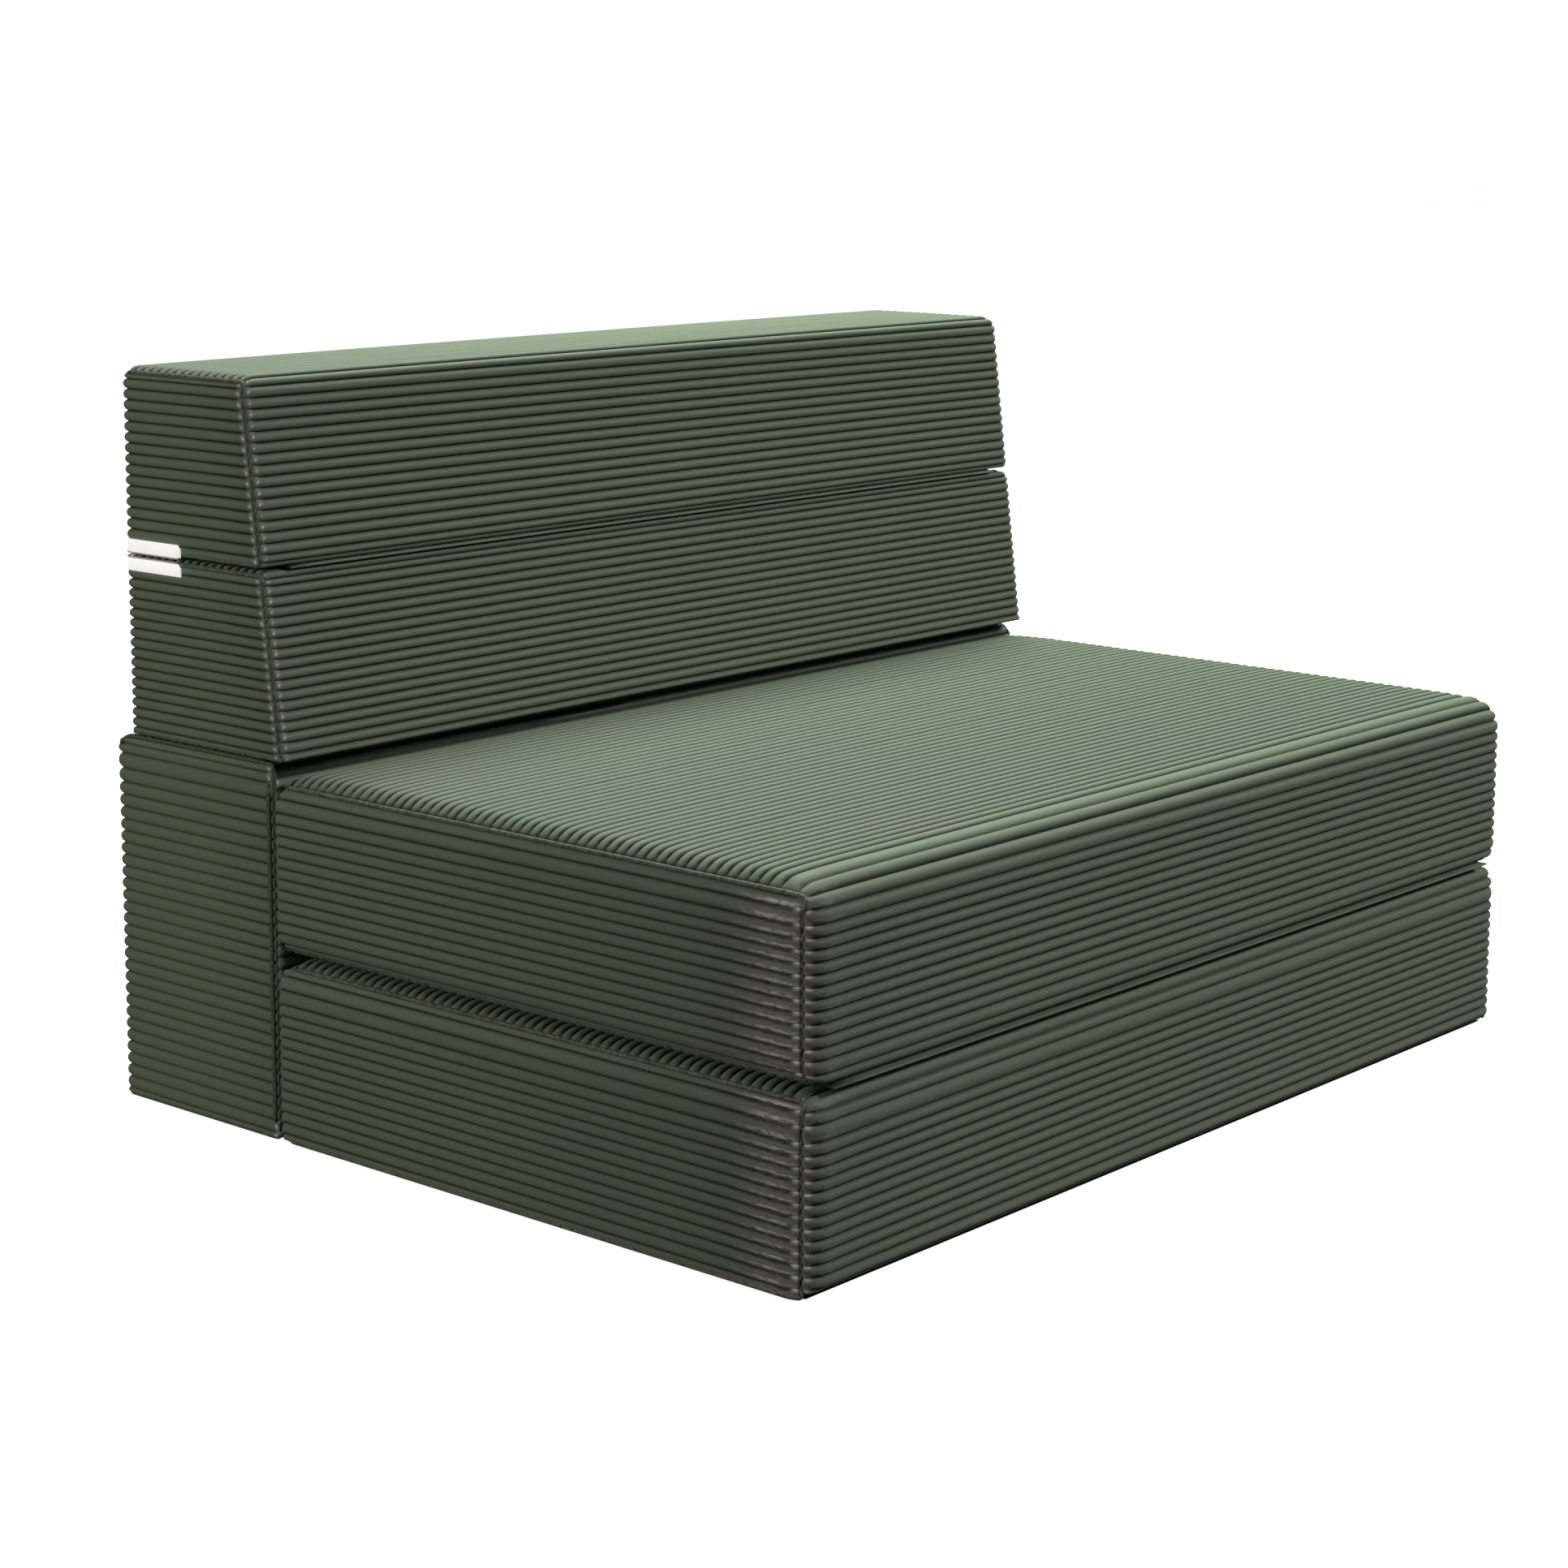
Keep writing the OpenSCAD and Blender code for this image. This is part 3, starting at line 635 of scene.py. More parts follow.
# %% Make an end panel
PANEL_MIDDLES = 26
PANEL_NEAR = 0.3
FOOT_RIB = 2 * MM
TOP_RIB = 4 * MM
PANEL_RIB_HEIGHT = 2.0 * MM
PANEL_FLATNESS = 3
PANEL_LIFT = 0.3
FRONT_RIB_HEIGHT = 4.2 * MM
FRONT_REACH = 50 * MM
FRONT_SHADE = 1.6
TALL_SHADE = 0.62
LOBE_HEIGHT = 6.5 * MM
LOBE_REACH = 26 * MM
SEAM_FLAT = 0.02 * MM
FINE = 0.05 * MM
SHADE_SHEEN_LENGTH = 400 * MM
SEAM_SHADE_SHEEN = 0.6
SEAM_SHADE_SHEEN_REACH = 30 * MM
TURN_IN = 5.4 * MM
PANEL_SEED = 1.3


def panel_places(width):
    """Distances from the front seam for the columns of a panel row, close together at both seams."""
    near = [d for d in SEAM_DISTANCES if d < width * PANEL_NEAR]
    middle = np.linspace(near[-1], width - near[-1], PANEL_MIDDLES)[1:-1]
    return np.array([*near, *middle, *(width - d for d in reversed(near))])


def rising(side):
    """One side of the seam line from foot to top, without its flat stretches."""
    side = side[np.argsort(side[:, 1], kind="stable")]
    low, high = side[0, 1], side[-1, 1]
    upright = side[(side[:, 1] > low + SEAM_FLAT) & (side[:, 1] < high - SEAM_FLAT)]
    return np.vstack([[upright[0, 0], low], upright, [upright[-1, 0], high]])


def depth_at(z, side):
    return np.interp(z, side[:, 1], side[:, 0])


def end_normals(block, y, z):
    """The normals of the block's rounded end at these depths."""
    slope_y = (block.recess(y + FINE, z) - block.recess(y - FINE, z)) / (2 * FINE)
    slope_z = (block.recess(y, z + FINE) - block.recess(y, z - FINE)) / (2 * FINE)
    normal = np.column_stack([np.ones_like(y), slope_y, slope_z])
    return normal / np.sqrt((normal ** 2).sum(1))[:, None]


def make_end_panel(block, section):
    """The right end panel of a block as a bmesh."""
    seam = section.seam
    low, high = seam[:, 1].min(), seam[:, 1].max()
    lines = rib_lines(block.end_ribs, block.high, block.low)
    rows = rib_rows([low] + [line for line in lines if low + FOOT_RIB < line < high - TOP_RIB] + [high])
    middle_y = (block.front_low + block.rear) / 2
    front_seam = rising(seam[seam[:, 0] < middle_y])
    rear_seam = rising(seam[seam[:, 0] >= middle_y])
    widest = np.ptp(seam[:, 0])
    shares = panel_places(widest) / widest
    seed = PANEL_SEED * len(block.name) + 10 * block.low
    shade = TALL_SHADE if block.name == "rear_base" else 1
    row_length = len(shares)
    bm, layers, verts = flat_cloth(row_length, len(rows))
    for r, (z, across, number) in enumerate(rows):
        y_front, y_rear = depth_at(z, front_seam), depth_at(z, rear_seam)
        y = y_front + shares * (y_rear - y_front)
        to_front = y - y_front
        lobe = block.rear_block * clamped(1 - (y_rear - y) / LOBE_REACH) ** 2
        near = block.rub * bell(to_front, FRONT_REACH)
        flat_rib, full_rib = rib_height(across, to_front, PANEL_FLATNESS), rib_height(across, to_front)
        height = lifted(flat_rib + np.maximum(near, lobe) * (full_rib - flat_rib), to_front, PANEL_LIFT)
        depth = PANEL_RIB_HEIGHT + (LOBE_HEIGHT - PANEL_RIB_HEIGHT) * lobe
        depth = depth + (FRONT_RIB_HEIGHT - PANEL_RIB_HEIGHT) * near
        level = (height - 1) * depth - tuck(np.minimum(to_front, np.minimum(z - low, high - z)))
        level += sinking(y, [number] * row_length, 3, seed) * height
        share = (z - block.low) / (block.high - block.low)
        pull = block.pull_in * math.sin(math.pi * share) * clamped(1 - (2 * (y - middle_y) / widest) ** 2)
        face = np.column_stack([block.half - block.recess(y, z) - pull, y, np.full_like(y, z)])
        place = face + end_normals(block, y, z) * level[:, None]
        # Painted crease shade: stronger near the front seam, weaker on the tall block.
        crest = lifted(flat_rib + near * (full_rib - flat_rib), to_front, PANEL_LIFT)
        crest = 1 - (1 - crest) * (1 + FRONT_SHADE * near) * shade
        rub = highlight_mask(across, to_front, block.rub ** 3)
        glints = nick(across, to_front, glint_strength(number, 11, seed), block.rear_block)
        # Painted shade and sheen over the seat blocks' ends, and beside the front seam on the rear blocks.
        fade = block.rub * np.exp(-to_front / SHADE_SHEEN_LENGTH)
        fade = fade + (1 - block.rub) * SEAM_SHADE_SHEEN * np.exp(-to_front / SEAM_SHADE_SHEEN_REACH)
        row = verts[r * row_length:(r + 1) * row_length]
        put_points(row, place, layers, (crest, rub, glints, fade))
    drawn = bmesh.ops.extrude_edge_only(bm, edges=open_edges(bm))["geom"]
    back = section.seam_x.min() - INNER_DEPTH
    for vert in only(bmesh.types.BMVert, drawn):
        z = min(max(vert.co.z, low + TURN_IN), high - TURN_IN)
        y = min(max(vert.co.y, depth_at(z, front_seam) + TURN_IN), block.rear - TURN_IN)
        vert.co = (back, y, z)
    bmesh.ops.contextual_create(bm, geom=only(bmesh.types.BMEdge, drawn))
    bmesh.ops.recalc_face_normals(bm, faces=bm.faces)
    return bm


# %% [markdown]
# ## Shader maths as sums
#
# A finish is mixed from many small nodes. Writing them as sums keeps them readable: Field stands for a
# number that changes over the surface, and adding or multiplying two of them adds the node that does
# it.

# %% Define the finish mixer
class Field:
    """A node's output that can be used in sums."""

    def __init__(self, finish, socket):
        self.finish = finish
        self.socket = socket

    def __add__(self, other):
        return self.finish.sum("ADD", self, other)

    def __sub__(self, other):
        return self.finish.sum("SUBTRACT", self, other)

    def __rsub__(self, other):
        return self.finish.sum("SUBTRACT", other, self)

    def __mul__(self, other):
        return self.finish.sum("MULTIPLY", self, other)

    __radd__ = __add__
    __rmul__ = __mul__

    def clamped(self):
        return self.finish.node("ShaderNodeClamp", {}, {"Value": self}, "Result")


class Finish:
    """A material in the making."""

    def __init__(self, name):
        self.material = bpy.data.materials.new(name)
        self.material.use_nodes = True
        self.tree = self.material.node_tree
        self.shader = self.tree.nodes["Principled BSDF"]

    def node(self, kind, settings, sockets, output=0):
        """One node: its settings first, then the values or links of its sockets."""
        made = self.tree.nodes.new(kind)
        for key, value in settings.items():
            setattr(made, key, value)
        for key, value in sockets.items():
            self.feed(made.inputs[key], value)
        return Field(self, made.outputs[output])

    def feed(self, socket, value):
        if isinstance(value, Field):
            self.tree.links.new(value.socket, socket)
        else:
            socket.default_value = value

    def sum(self, operation, a, b):
        return self.node("ShaderNodeMath", {"operation": operation}, {0: a, 1: b})

    def object_place(self, scale=(1, 1, 1)):
        place = self.node("ShaderNodeTexCoord", {}, {}, "Object")
        return self.node("ShaderNodeMapping", {}, {"Vector": place, "Scale": scale})

    def grain(self, scale, stretch=(1, 1, 1), detail=3, roughness=0.55):
        """Soft random grain, stretched along an axis where its scale is small."""
        sockets = {"Vector": self.object_place(stretch), "Scale": scale, "Detail": detail}
        return self.node("ShaderNodeTexNoise", {}, {**sockets, "Roughness": roughness}, "Fac")

    def attribute(self, name):
        return self.node("ShaderNodeAttribute", {"attribute_name": name}, {}, "Fac")

    def mix(self, share, a, b):
        """A colour between two colours."""
        return self.node("ShaderNodeMix", {"data_type": "RGBA"}, {0: share, 6: rgba(a), 7: rgba(b)}, 2)

    def set(self, **sockets):
        for name, value in sockets.items():
            self.feed(self.shader.inputs[name.replace("_", " ")], value)

    def bump(self, height, strength, distance):
        sockets = {"Height": height, "Strength": strength, "Distance": distance}
        self.set(Normal=self.node("ShaderNodeBump", {}, sockets))


def rgba(colour):
    return colour if isinstance(colour, Field) else (*colour, 1)


# %% [markdown]
# ## Corduroy
#
# The cloth is a deep grey green. The colour follows the "crest" mark: the crown of each rib shows the pile,
# and the creases go dark, partly as the ground cloth that shows there and partly as painted shade. The pile
# lies along the ribs, which gives faint streaks in that direction. The fronts near the end seams and the
# end panels, most of all on the seat blocks, get painted shade and sheen, a darker and greyer tone. Pale
# flecks beside the front seams, at the ends of the creases by the seams and on the rear blocks' rib tips
# are painted highlights.

# %% Mix the corduroy
PILE = (0.150, 0.212, 0.126)
PILE_WARM = (0.166, 0.202, 0.138)
# The crease colour: the ground cloth between the ribs, with painted shade on it.
GROUND_IN_SHADE = (0.013, 0.021, 0.011)
# Painted shade and sheen: the darker, greyer tone of the fronts and ends.
SHADE_SHEEN_TONE = (0.112, 0.112, 0.094)
# Painted highlight colour, for the pale flecks beside the front seams.
HIGHLIGHT = (0.570, 0.550, 0.520)
# Painted highlight colour, for the glints at the seams.
GLINT_COLOUR = (0.780, 0.750, 0.710)
CREASE = (0.25, 0.97)


def mix_corduroy(name, streaks, flecks):
    """Corduroy whose streaks and flecks are stretched along its ribs."""
    finish = Finish(name)
    broad = finish.grain(9, detail=2)
    streak = finish.grain(60, stretch=streaks, detail=4, roughness=0.6)
    speck = finish.grain(650, stretch=streaks)
    fleck = finish.grain(700, stretch=flecks)
    pile = finish.mix(broad, PILE, PILE_WARM)
    # Painted shade and sheen on the fronts and ends, streaked along the ribs.
    shade_sheen_mixed = finish.mix((finish.attribute("fade") * (streak * 0.5 + 0.5)).clamped(), pile, SHADE_SHEEN_TONE)
    # The crest mark blends the pile into the dark crease colour, which is partly ground cloth and partly
    # painted shade.
    pile_and_light_share = ((finish.attribute("crest") - CREASE[0]) * (1 / (CREASE[1] - CREASE[0]))).clamped()
    shaded = finish.mix(pile_and_light_share, GROUND_IN_SHADE, shade_sheen_mixed)
    # Painted highlights beside the front seams, flecked; where they lie the cloth is also smoother.
    highlit = (finish.attribute("rub") * (streak * 1.2 + fleck * 7.0 - 2.8)).clamped()
    with_highlights = finish.mix(highlit, shaded, HIGHLIGHT)
    # Painted glints at the ends of the creases by the seams, and on the rear blocks' rib tips.
    marked = finish.mix((finish.attribute("nick") * (speck * 2.0 + 0.3)).clamped(), with_highlights, GLINT_COLOUR)
    finish.set(Base_Color=marked, Roughness=0.66 - highlit * 0.25 + streak * 0.08)
    finish.set(Sheen_Weight=0.06, Sheen_Roughness=0.5, Specular_IOR_Level=0.3)
    finish.bump(streak * 0.5 + speck * 0.5, 0.25, 0.3 * MM)
    return finish.material


corduroy_across = mix_corduroy("corduroy_ribs_side_to_side", (0.12, 1, 1), (0.2, 1, 1))
corduroy_along = mix_corduroy("corduroy_ribs_front_to_rear", (1, 0.12, 1), (1, 0.2, 1))
print("mixed", corduroy_across.name, "and", corduroy_along.name)

# %% [markdown]
# ## The other finishes
#
# The piping's sleeve is cut from the same pile, a little greyer, and has no creases. The hinge cloth is
# a mid-green weave. The bag is thin white cloth, the foam is cream with fine pores, the sheets under
# the blocks are black, and the zip is a white woven tape with white teeth and a slider of bright cast
# metal.

# %% Mix the plain finishes
THREADS = 520
PORES = 420


def mix_grained(name, scale, dark, pale, rough, bump=(), detail=2, stretch=(1, 1, 1), contrast=1, **more):
    """A finish with a fine grain. rough holds its roughness and what the grain adds to it, bump its
    strength and distance."""
    finish = Finish(name)
    grain = finish.grain(scale, stretch, detail)
    share = (grain * contrast - (contrast - 1) / 2).clamped()
    finish.set(Base_Color=finish.mix(share, dark, pale), Roughness=rough[0] + grain * rough[1], **more)
    if bump:
        finish.bump(grain, *bump)
    return finish.material


def mix_sleeve(name, dark, pale):
    """The short pile of the piping's sleeve."""
    return mix_grained(name, 300, dark, pale, (0.6, 0.1), (0.3, 0.2 * MM), detail=3, contrast=3)


def mix_weave(name, dark, pale, rough, depth=0.15 * MM, glow=0):
    """A plain weave: two sets of fine threads that cross. With a glow above 0 the weave also gives off
    light of its own colour, a painted glow.
    """
    finish = Finish(name)
    threads = {"Vector": finish.object_place(), "Scale": THREADS}
    warp = finish.node("ShaderNodeTexWave", {"bands_direction": "X"}, threads, "Fac")
    weft = finish.node("ShaderNodeTexWave", {"bands_direction": "Z"}, threads, "Fac")
    weave = warp * 0.5 + weft * 0.5
    mottle = finish.grain(40)
    colour = finish.mix((weave * 0.6 + mottle * 0.4).clamped(), dark, pale)
    finish.set(Base_Color=colour, Roughness=rough + mottle * 0.1)
    if glow:
        finish.set(Emission_Color=colour, Emission_Strength=glow)
    finish.bump(weave, 0.4, depth)
    return finish.material


def mix_foam(name, dark, pale):
    """Foam, with pores that are cells cut open."""
    finish = Finish(name)
    sockets = {"Vector": finish.object_place(), "Scale": PORES}
    pores = finish.node("ShaderNodeTexVoronoi", {}, sockets, "Distance")
    tone = finish.grain(8, detail=2)
    finish.set(Base_Color=finish.mix(tone, dark, pale), Roughness=0.85 + tone * 0.1)
    finish.bump(pores, 0.6, 0.5 * MM)
    return finish.material


piping_cloth = mix_sleeve("piping_sleeve", (0.046, 0.054, 0.038), (0.165, 0.182, 0.140))
upright_cloth = mix_sleeve("upright_piping_sleeve", (0.045, 0.060, 0.038), (0.110, 0.140, 0.092))
hinge_cloth = mix_weave("hinge_weave", (0.100, 0.140, 0.092), (0.190, 0.250, 0.165), 0.8)
liner_cloth = mix_weave("bag_weave", (0.62, 0.62, 0.60), (0.80, 0.80, 0.78), 0.75)
# The zip tape has a painted glow, so it looks whiter than the light on it makes it.
tape_weave = mix_weave("zip_tape_weave", (0.70, 0.70, 0.70), (0.90, 0.90, 0.90), 0.6, 0.3 * MM, glow=0.75)
foam_finish = mix_foam("cream_foam", (0.78, 0.70, 0.46), (0.86, 0.79, 0.56))
rubber_dots = mix_grained(
    "rubber_dots", 500, (0.012, 0.012, 0.013), (0.030, 0.030, 0.031), (0.7, 0.2), (0.4, 0.2 * MM))
tooth_plastic = mix_grained(
    "tooth_plastic", 150, (0.78, 0.78, 0.77), (0.86, 0.86, 0.85), (0.32, 0.08))
cast_metal = mix_grained(
    "cast_metal", 240, (0.55, 0.56, 0.57), (0.72, 0.73, 0.74), (0.22, 0.2), (0.15, 0.05 * MM),
    detail=4, stretch=(1, 1, 0.2), Metallic=0.75)
print("mixed the plain finishes")

# %% [markdown]
# ## Covers
#
# Each cover is a wrap and two end panels. A left panel is a right one mirrored.

# %% Cut and sew the covers
for name, block in blocks.items():
    sides = sections[name]
    bm = make_wrap(block, sides)
    wrap = store(bm, name + "_wrap", block.body, corduroy_across, "corduroy", name + "_cover")
    for side_name, side in (("right", 1), ("left", -1)):
        bm = make_end_panel(block, sides[side])
        if side < 0:
            bmesh.ops.scale(bm, vec=(-1, 1, 1), verts=bm.verts)
            bmesh.ops.reverse_faces(bm, faces=bm.faces)
        node = f"{name}_end_{side_name}"
        panel = store(bm, f"{name}_panel_{side_name}", block.body, corduroy_along, "corduroy", node)
    print(name, "wrap has", len(wrap.data.polygons), "faces, a panel", len(panel.data.polygons))

# %% [markdown]
# ## Piping
#
# A thin cord in a cloth sleeve is caught in the seam all round each end panel. It is a tube that
# follows the seam and closes on itself. It lies between the ends of the ribs, a little below their
# crowns and deeper at the front and the rear. Along the tops of the left ends it stands up and catches
# the light as a fine line, along those of the right ends it is drawn in.

# %% Run tubes along lines
PIPING_RADIUS = 1.9 * MM
PIPING_LEVEL = -1.7 * MM
REAR_SINK = 2
FRONT_SINK = 0.9
TOP_RISE = {-1: 1.0, 1: -1.0}
PIPING_SIDES = 8
PIPING_STEP = 8
TOUCHING = 0.001 * MM


def roll(bm, rows):
    """Roll a new grid in the bmesh into a tube through rows of points."""
    sides = len(rows[0])
    made = bmesh.ops.create_grid(bm, x_segments=sides, y_segments=len(rows) - 1, size=1)["verts"]
    put_points(made, [point for row in rows for point in (*row, row[0])])


def close_tubes(bm, sides):
    """Sew rolled grids along their length and close their ends."""
    bmesh.ops.remove_doubles(bm, verts=bm.verts, dist=TOUCHING)
    bmesh.ops.holes_fill(bm, edges=open_edges(bm), sides=sides)
    bmesh.ops.recalc_face_normals(bm, faces=bm.faces)
    return bm


def rings(path, radii, sides):
    """Rings of points along a path. The path may end where it starts."""
    path = np.array(path, float)
    ahead = np.gradient(path, axis=0)
    if np.allclose(path[0], path[-1]):
        ahead[0] = ahead[-1] = (path[1] - path[-2]) / 2
    angles = [2 * math.pi * c / sides for c in range(sides)]
    made = []
    for place, direction, radius in zip(path, ahead, radii):
        turn = Vector(direction).to_track_quat("Z", "Y")
        spokes = [turn @ Vector((radius * math.cos(a), radius * math.sin(a), 0)) for a in angles]
        made.append([Vector(place) + spoke for spoke in spokes])
    return made


def piping_path(block, section, side):
    """Points all round a seam, at the piping's depth below the ribs' crowns."""
    sink = np.where(section.normal[:, 0] < 0, FRONT_SINK, REAR_SINK) * abs(section.normal[:, 0])
    level = PIPING_LEVEL * (1 + sink - TOP_RISE[side] * clamped(section.normal[:, 1]))
    x = section.seam_x + level * np.sin(section.turn)
    in_face = section.seam_normal * (level * np.cos(section.turn))[:, None]
    ring = np.column_stack([side * x, section.seam + in_face])[:-1:PIPING_STEP]
    return np.vstack([ring, ring[:1]])


for name, block in blocks.items():
    for side_name, side in (("left", -1), ("right", 1)):
        path = piping_path(block, sections[name][side], side)
        bm = bmesh.new()
        roll(bm, rings(path, [PIPING_RADIUS] * len(path), PIPING_SIDES))
        close_tubes(bm, PIPING_SIDES)
        sleeve = upright_cloth if name == "rear_base" else piping_cloth
        store(bm, f"{name}_piping_{side_name}", block.body, sleeve, "corduroy")
print("piping of", len(path), "points round each upper back end")

# %% [markdown]
# The tall block also has thick upright piping along the front edges of its ends. Its sleeve is gathered
# a little, so the tube's radius wavers along its length.

# %% Make the upright piping
GATHER_STEP = 4 * MM
GATHER_PITCH = 90
GATHER_SEED = 5
GATHER = 0.07
TIP_SHARE = 0.05
UPRIGHT_SIDES = 14
UPRIGHT_SHARE = 0.75


def make_upright_piping():
    low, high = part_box("rear_base_piping")
    radius = UPRIGHT_SHARE * (high.y - low.y) / 2
    middle_y = (high.y + low.y) / 2
    x = high.x - (high.y - low.y) / 2
    heights = np.linspace(low.z, high.z, int((high.z - low.z) / GATHER_STEP))
    gather = np.array([1 + GATHER * smooth_noise(0, 0, z * GATHER_PITCH, GATHER_SEED) for z in heights])
    ends = np.clip(np.minimum(heights - low.z, high.z - heights) / radius, TIP_SHARE, 1)
    radii = radius * gather * np.sqrt(1 - (1 - ends) ** 2)
    bm = bmesh.new()
    for side in (-1, 1):
        roll(bm, rings([(side * x, middle_y, z) for z in heights], radii, UPRIGHT_SIDES))
    return close_tubes(bm, UPRIGHT_SIDES)


bm = make_upright_piping()
store(bm, "rear_base_upright_piping", "base", upright_cloth, "corduroy", "rear_base_piping")
print("upright piping at both ends of the tall block")

# %% [markdown]
# ## Foam and liners
#
# Inside each cover lies a block of foam in a thin white bag. Neither shows while the covers are on, but
# both are there when a cover is lifted off: the foam with the soft edges that the tight cover gives it,
# the bag a little larger and a thin shell.

# %% Fill the covers
COVER_INSIDE = 12 * MM
END_INSIDE = 6 * MM
BAG_THICKNESS = 0.8 * MM
BAG_GAP = 1 * MM
FOAM_EDGE = 9 * MM
FOAM_CUTS = 7
FOAM_WAVE = 0.4 * MM
FOAM_PITCH = (4, 6, 6)


def round_edges(bm, width, steps):
    bmesh.ops.bevel(
        bm, geom=bm.edges, offset=width, segments=steps, profile=0.5, affect="EDGES", material=-1)


def make_filling(block, inset):
    """A rounded block that follows the cover's section at a distance."""
    bm = bmesh.new()
    bmesh.ops.create_cube(bm, size=1)
    for vert in bm.verts:
        z = block.low + inset if vert.co.z < 0 else block.high - inset
        y = block.front_at(z) + inset if vert.co.y < 0 else block.rear - inset
        x = math.copysign(block.half - inset - END_INSIDE, vert.co.x)
        vert.co = (x, y, z)
    round_edges(bm, FOAM_EDGE, 4)
    long_edges = [edge for edge in bm.edges if edge.calc_length() > 3 * FOAM_EDGE]
    bmesh.ops.subdivide_edges(bm, edges=long_edges, cuts=FOAM_CUTS, use_grid_fill=True)
    for vert in bm.verts:
        wave = smooth_noise(*(c * pitch for c, pitch in zip(vert.co, FOAM_PITCH)), 1)
        vert.co += vert.normal * wave * FOAM_WAVE
    bmesh.ops.recalc_face_normals(bm, faces=bm.faces)
    return bm


def make_liner(block):
    bm = make_filling(block, COVER_INSIDE)
    inner = bmesh.ops.duplicate(bm, geom=bm.verts[:] + bm.edges[:] + bm.faces[:])["geom"]
    middle = Vector((0, (block.front_low + block.rear) / 2, (block.low + block.high) / 2))
    for vert in only(bmesh.types.BMVert, inner):
        vert.co -= Vector([math.copysign(min(abs(c), BAG_THICKNESS), c) for c in vert.co - middle])
    bmesh.ops.reverse_faces(bm, faces=only(bmesh.types.BMFace, inner))
    return bm


for name, block in blocks.items():
    store(make_liner(block), name + "_bag", block.body, liner_cloth, "liner_cloth", name + "_liner")
    core = make_filling(block, COVER_INSIDE + BAG_THICKNESS + BAG_GAP)
    foam = store(core, name + "_core", block.body, foam_finish, "foam", name + "_foam")
print("filled", len(blocks), "covers")

# %% [markdown]
# ## Non-slip sheets
#
# The two blocks that stand on the floor have a thin black sheet under them, with rubber dots that grip.
# Each dot is one face of the sheet's grid, drawn in and pushed down.

# %% Lay the non-slip sheets
DOT_PITCH = 14 * MM
DOT_RIM = 4.2 * MM
DOT_SLOPE = 0.3 * MM
DOT_DEPTH = 0.4 * MM


def cut_to(cloth, flat, rests_on):
    """Say what flat size a piece of cloth is cut to. rests_on is not used."""
    print(cloth.name, "is cut to", tuple(round(float(side), 3) for side in flat))


def make_floor_sheet(node):
    low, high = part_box(node)
    width, depth = high.x - low.x, high.y - low.y
    columns, rows = round(width / DOT_PITCH), round(depth / DOT_PITCH)
    bm = bmesh.new()
    bmesh.ops.create_grid(bm, x_segments=columns, y_segments=rows, size=0.5)
    bmesh.ops.scale(bm, vec=(width, depth, 1), verts=bm.verts)
    bmesh.ops.translate(bm, vec=((low.x + high.x) / 2, (low.y + high.y) / 2, high.z), verts=bm.verts)
    body = bmesh.ops.extrude_face_region(bm, geom=bm.faces[:])["geom"]
    under = only(bmesh.types.BMFace, body)
    bmesh.ops.translate(bm, vec=(0, 0, low.z + DOT_DEPTH - high.z), verts=only(bmesh.types.BMVert, body))
    for thickness in (DOT_RIM, DOT_SLOPE):
        bmesh.ops.inset_individual(bm, faces=under, thickness=thickness, depth=0)
    for vert in {vert for face in under for vert in face.verts}:
        vert.co.z = low.z
    bmesh.ops.recalc_face_normals(bm, faces=bm.faces)
    return bm, (width, depth)


for name in ("seat_base", "rear_base"):
    node = name + "_floor_sheet"
    bm, size = make_floor_sheet(node)
    sheet = store(bm, name + "_non_slip_sheet", "base", rubber_dots, "floor_sheet", node)
    cut_to(sheet, size, [name + "_wrap"])

# %% [markdown]
# ## Hinge cloths and joining strips
#
# A cloth hinge is a strip sewn to both blocks and folded between them. One sheet goes along the lower
# block, round the fold and back along the upper block, and it has to open flat when the block turns
# over. Here it is drawn folded and rides on no body. The joining strips hold blocks that never move
# against each other.

# %% Sew the hinges and strips
CLOTH_THICKNESS = 0.6 * MM
FOLD_STEPS = 8
ALONG_STEPS = 30
LEAF_STEPS = 8


def cloth_strip(line, x_low, x_high):
    """A strip of cloth that follows a line in depth and height: a grid rolled into a flat tube."""
    line = np.array(line)
    ahead = np.gradient(line, axis=0)
    ahead /= np.hypot(*ahead.T)[:, None]
    half = np.column_stack([-ahead[:, 1], ahead[:, 0]]) * CLOTH_THICKNESS / 2
    widths = np.linspace(x_low, x_high, ALONG_STEPS + 1)
    profile = [(x, 1) for x in widths] + [(x, -1) for x in widths[::-1]]
    bm = bmesh.new()
    roll(bm, [[(x, *(place + face * step)) for x, face in profile] for place, step in zip(line, half)])
    return close_tubes(bm, len(profile))


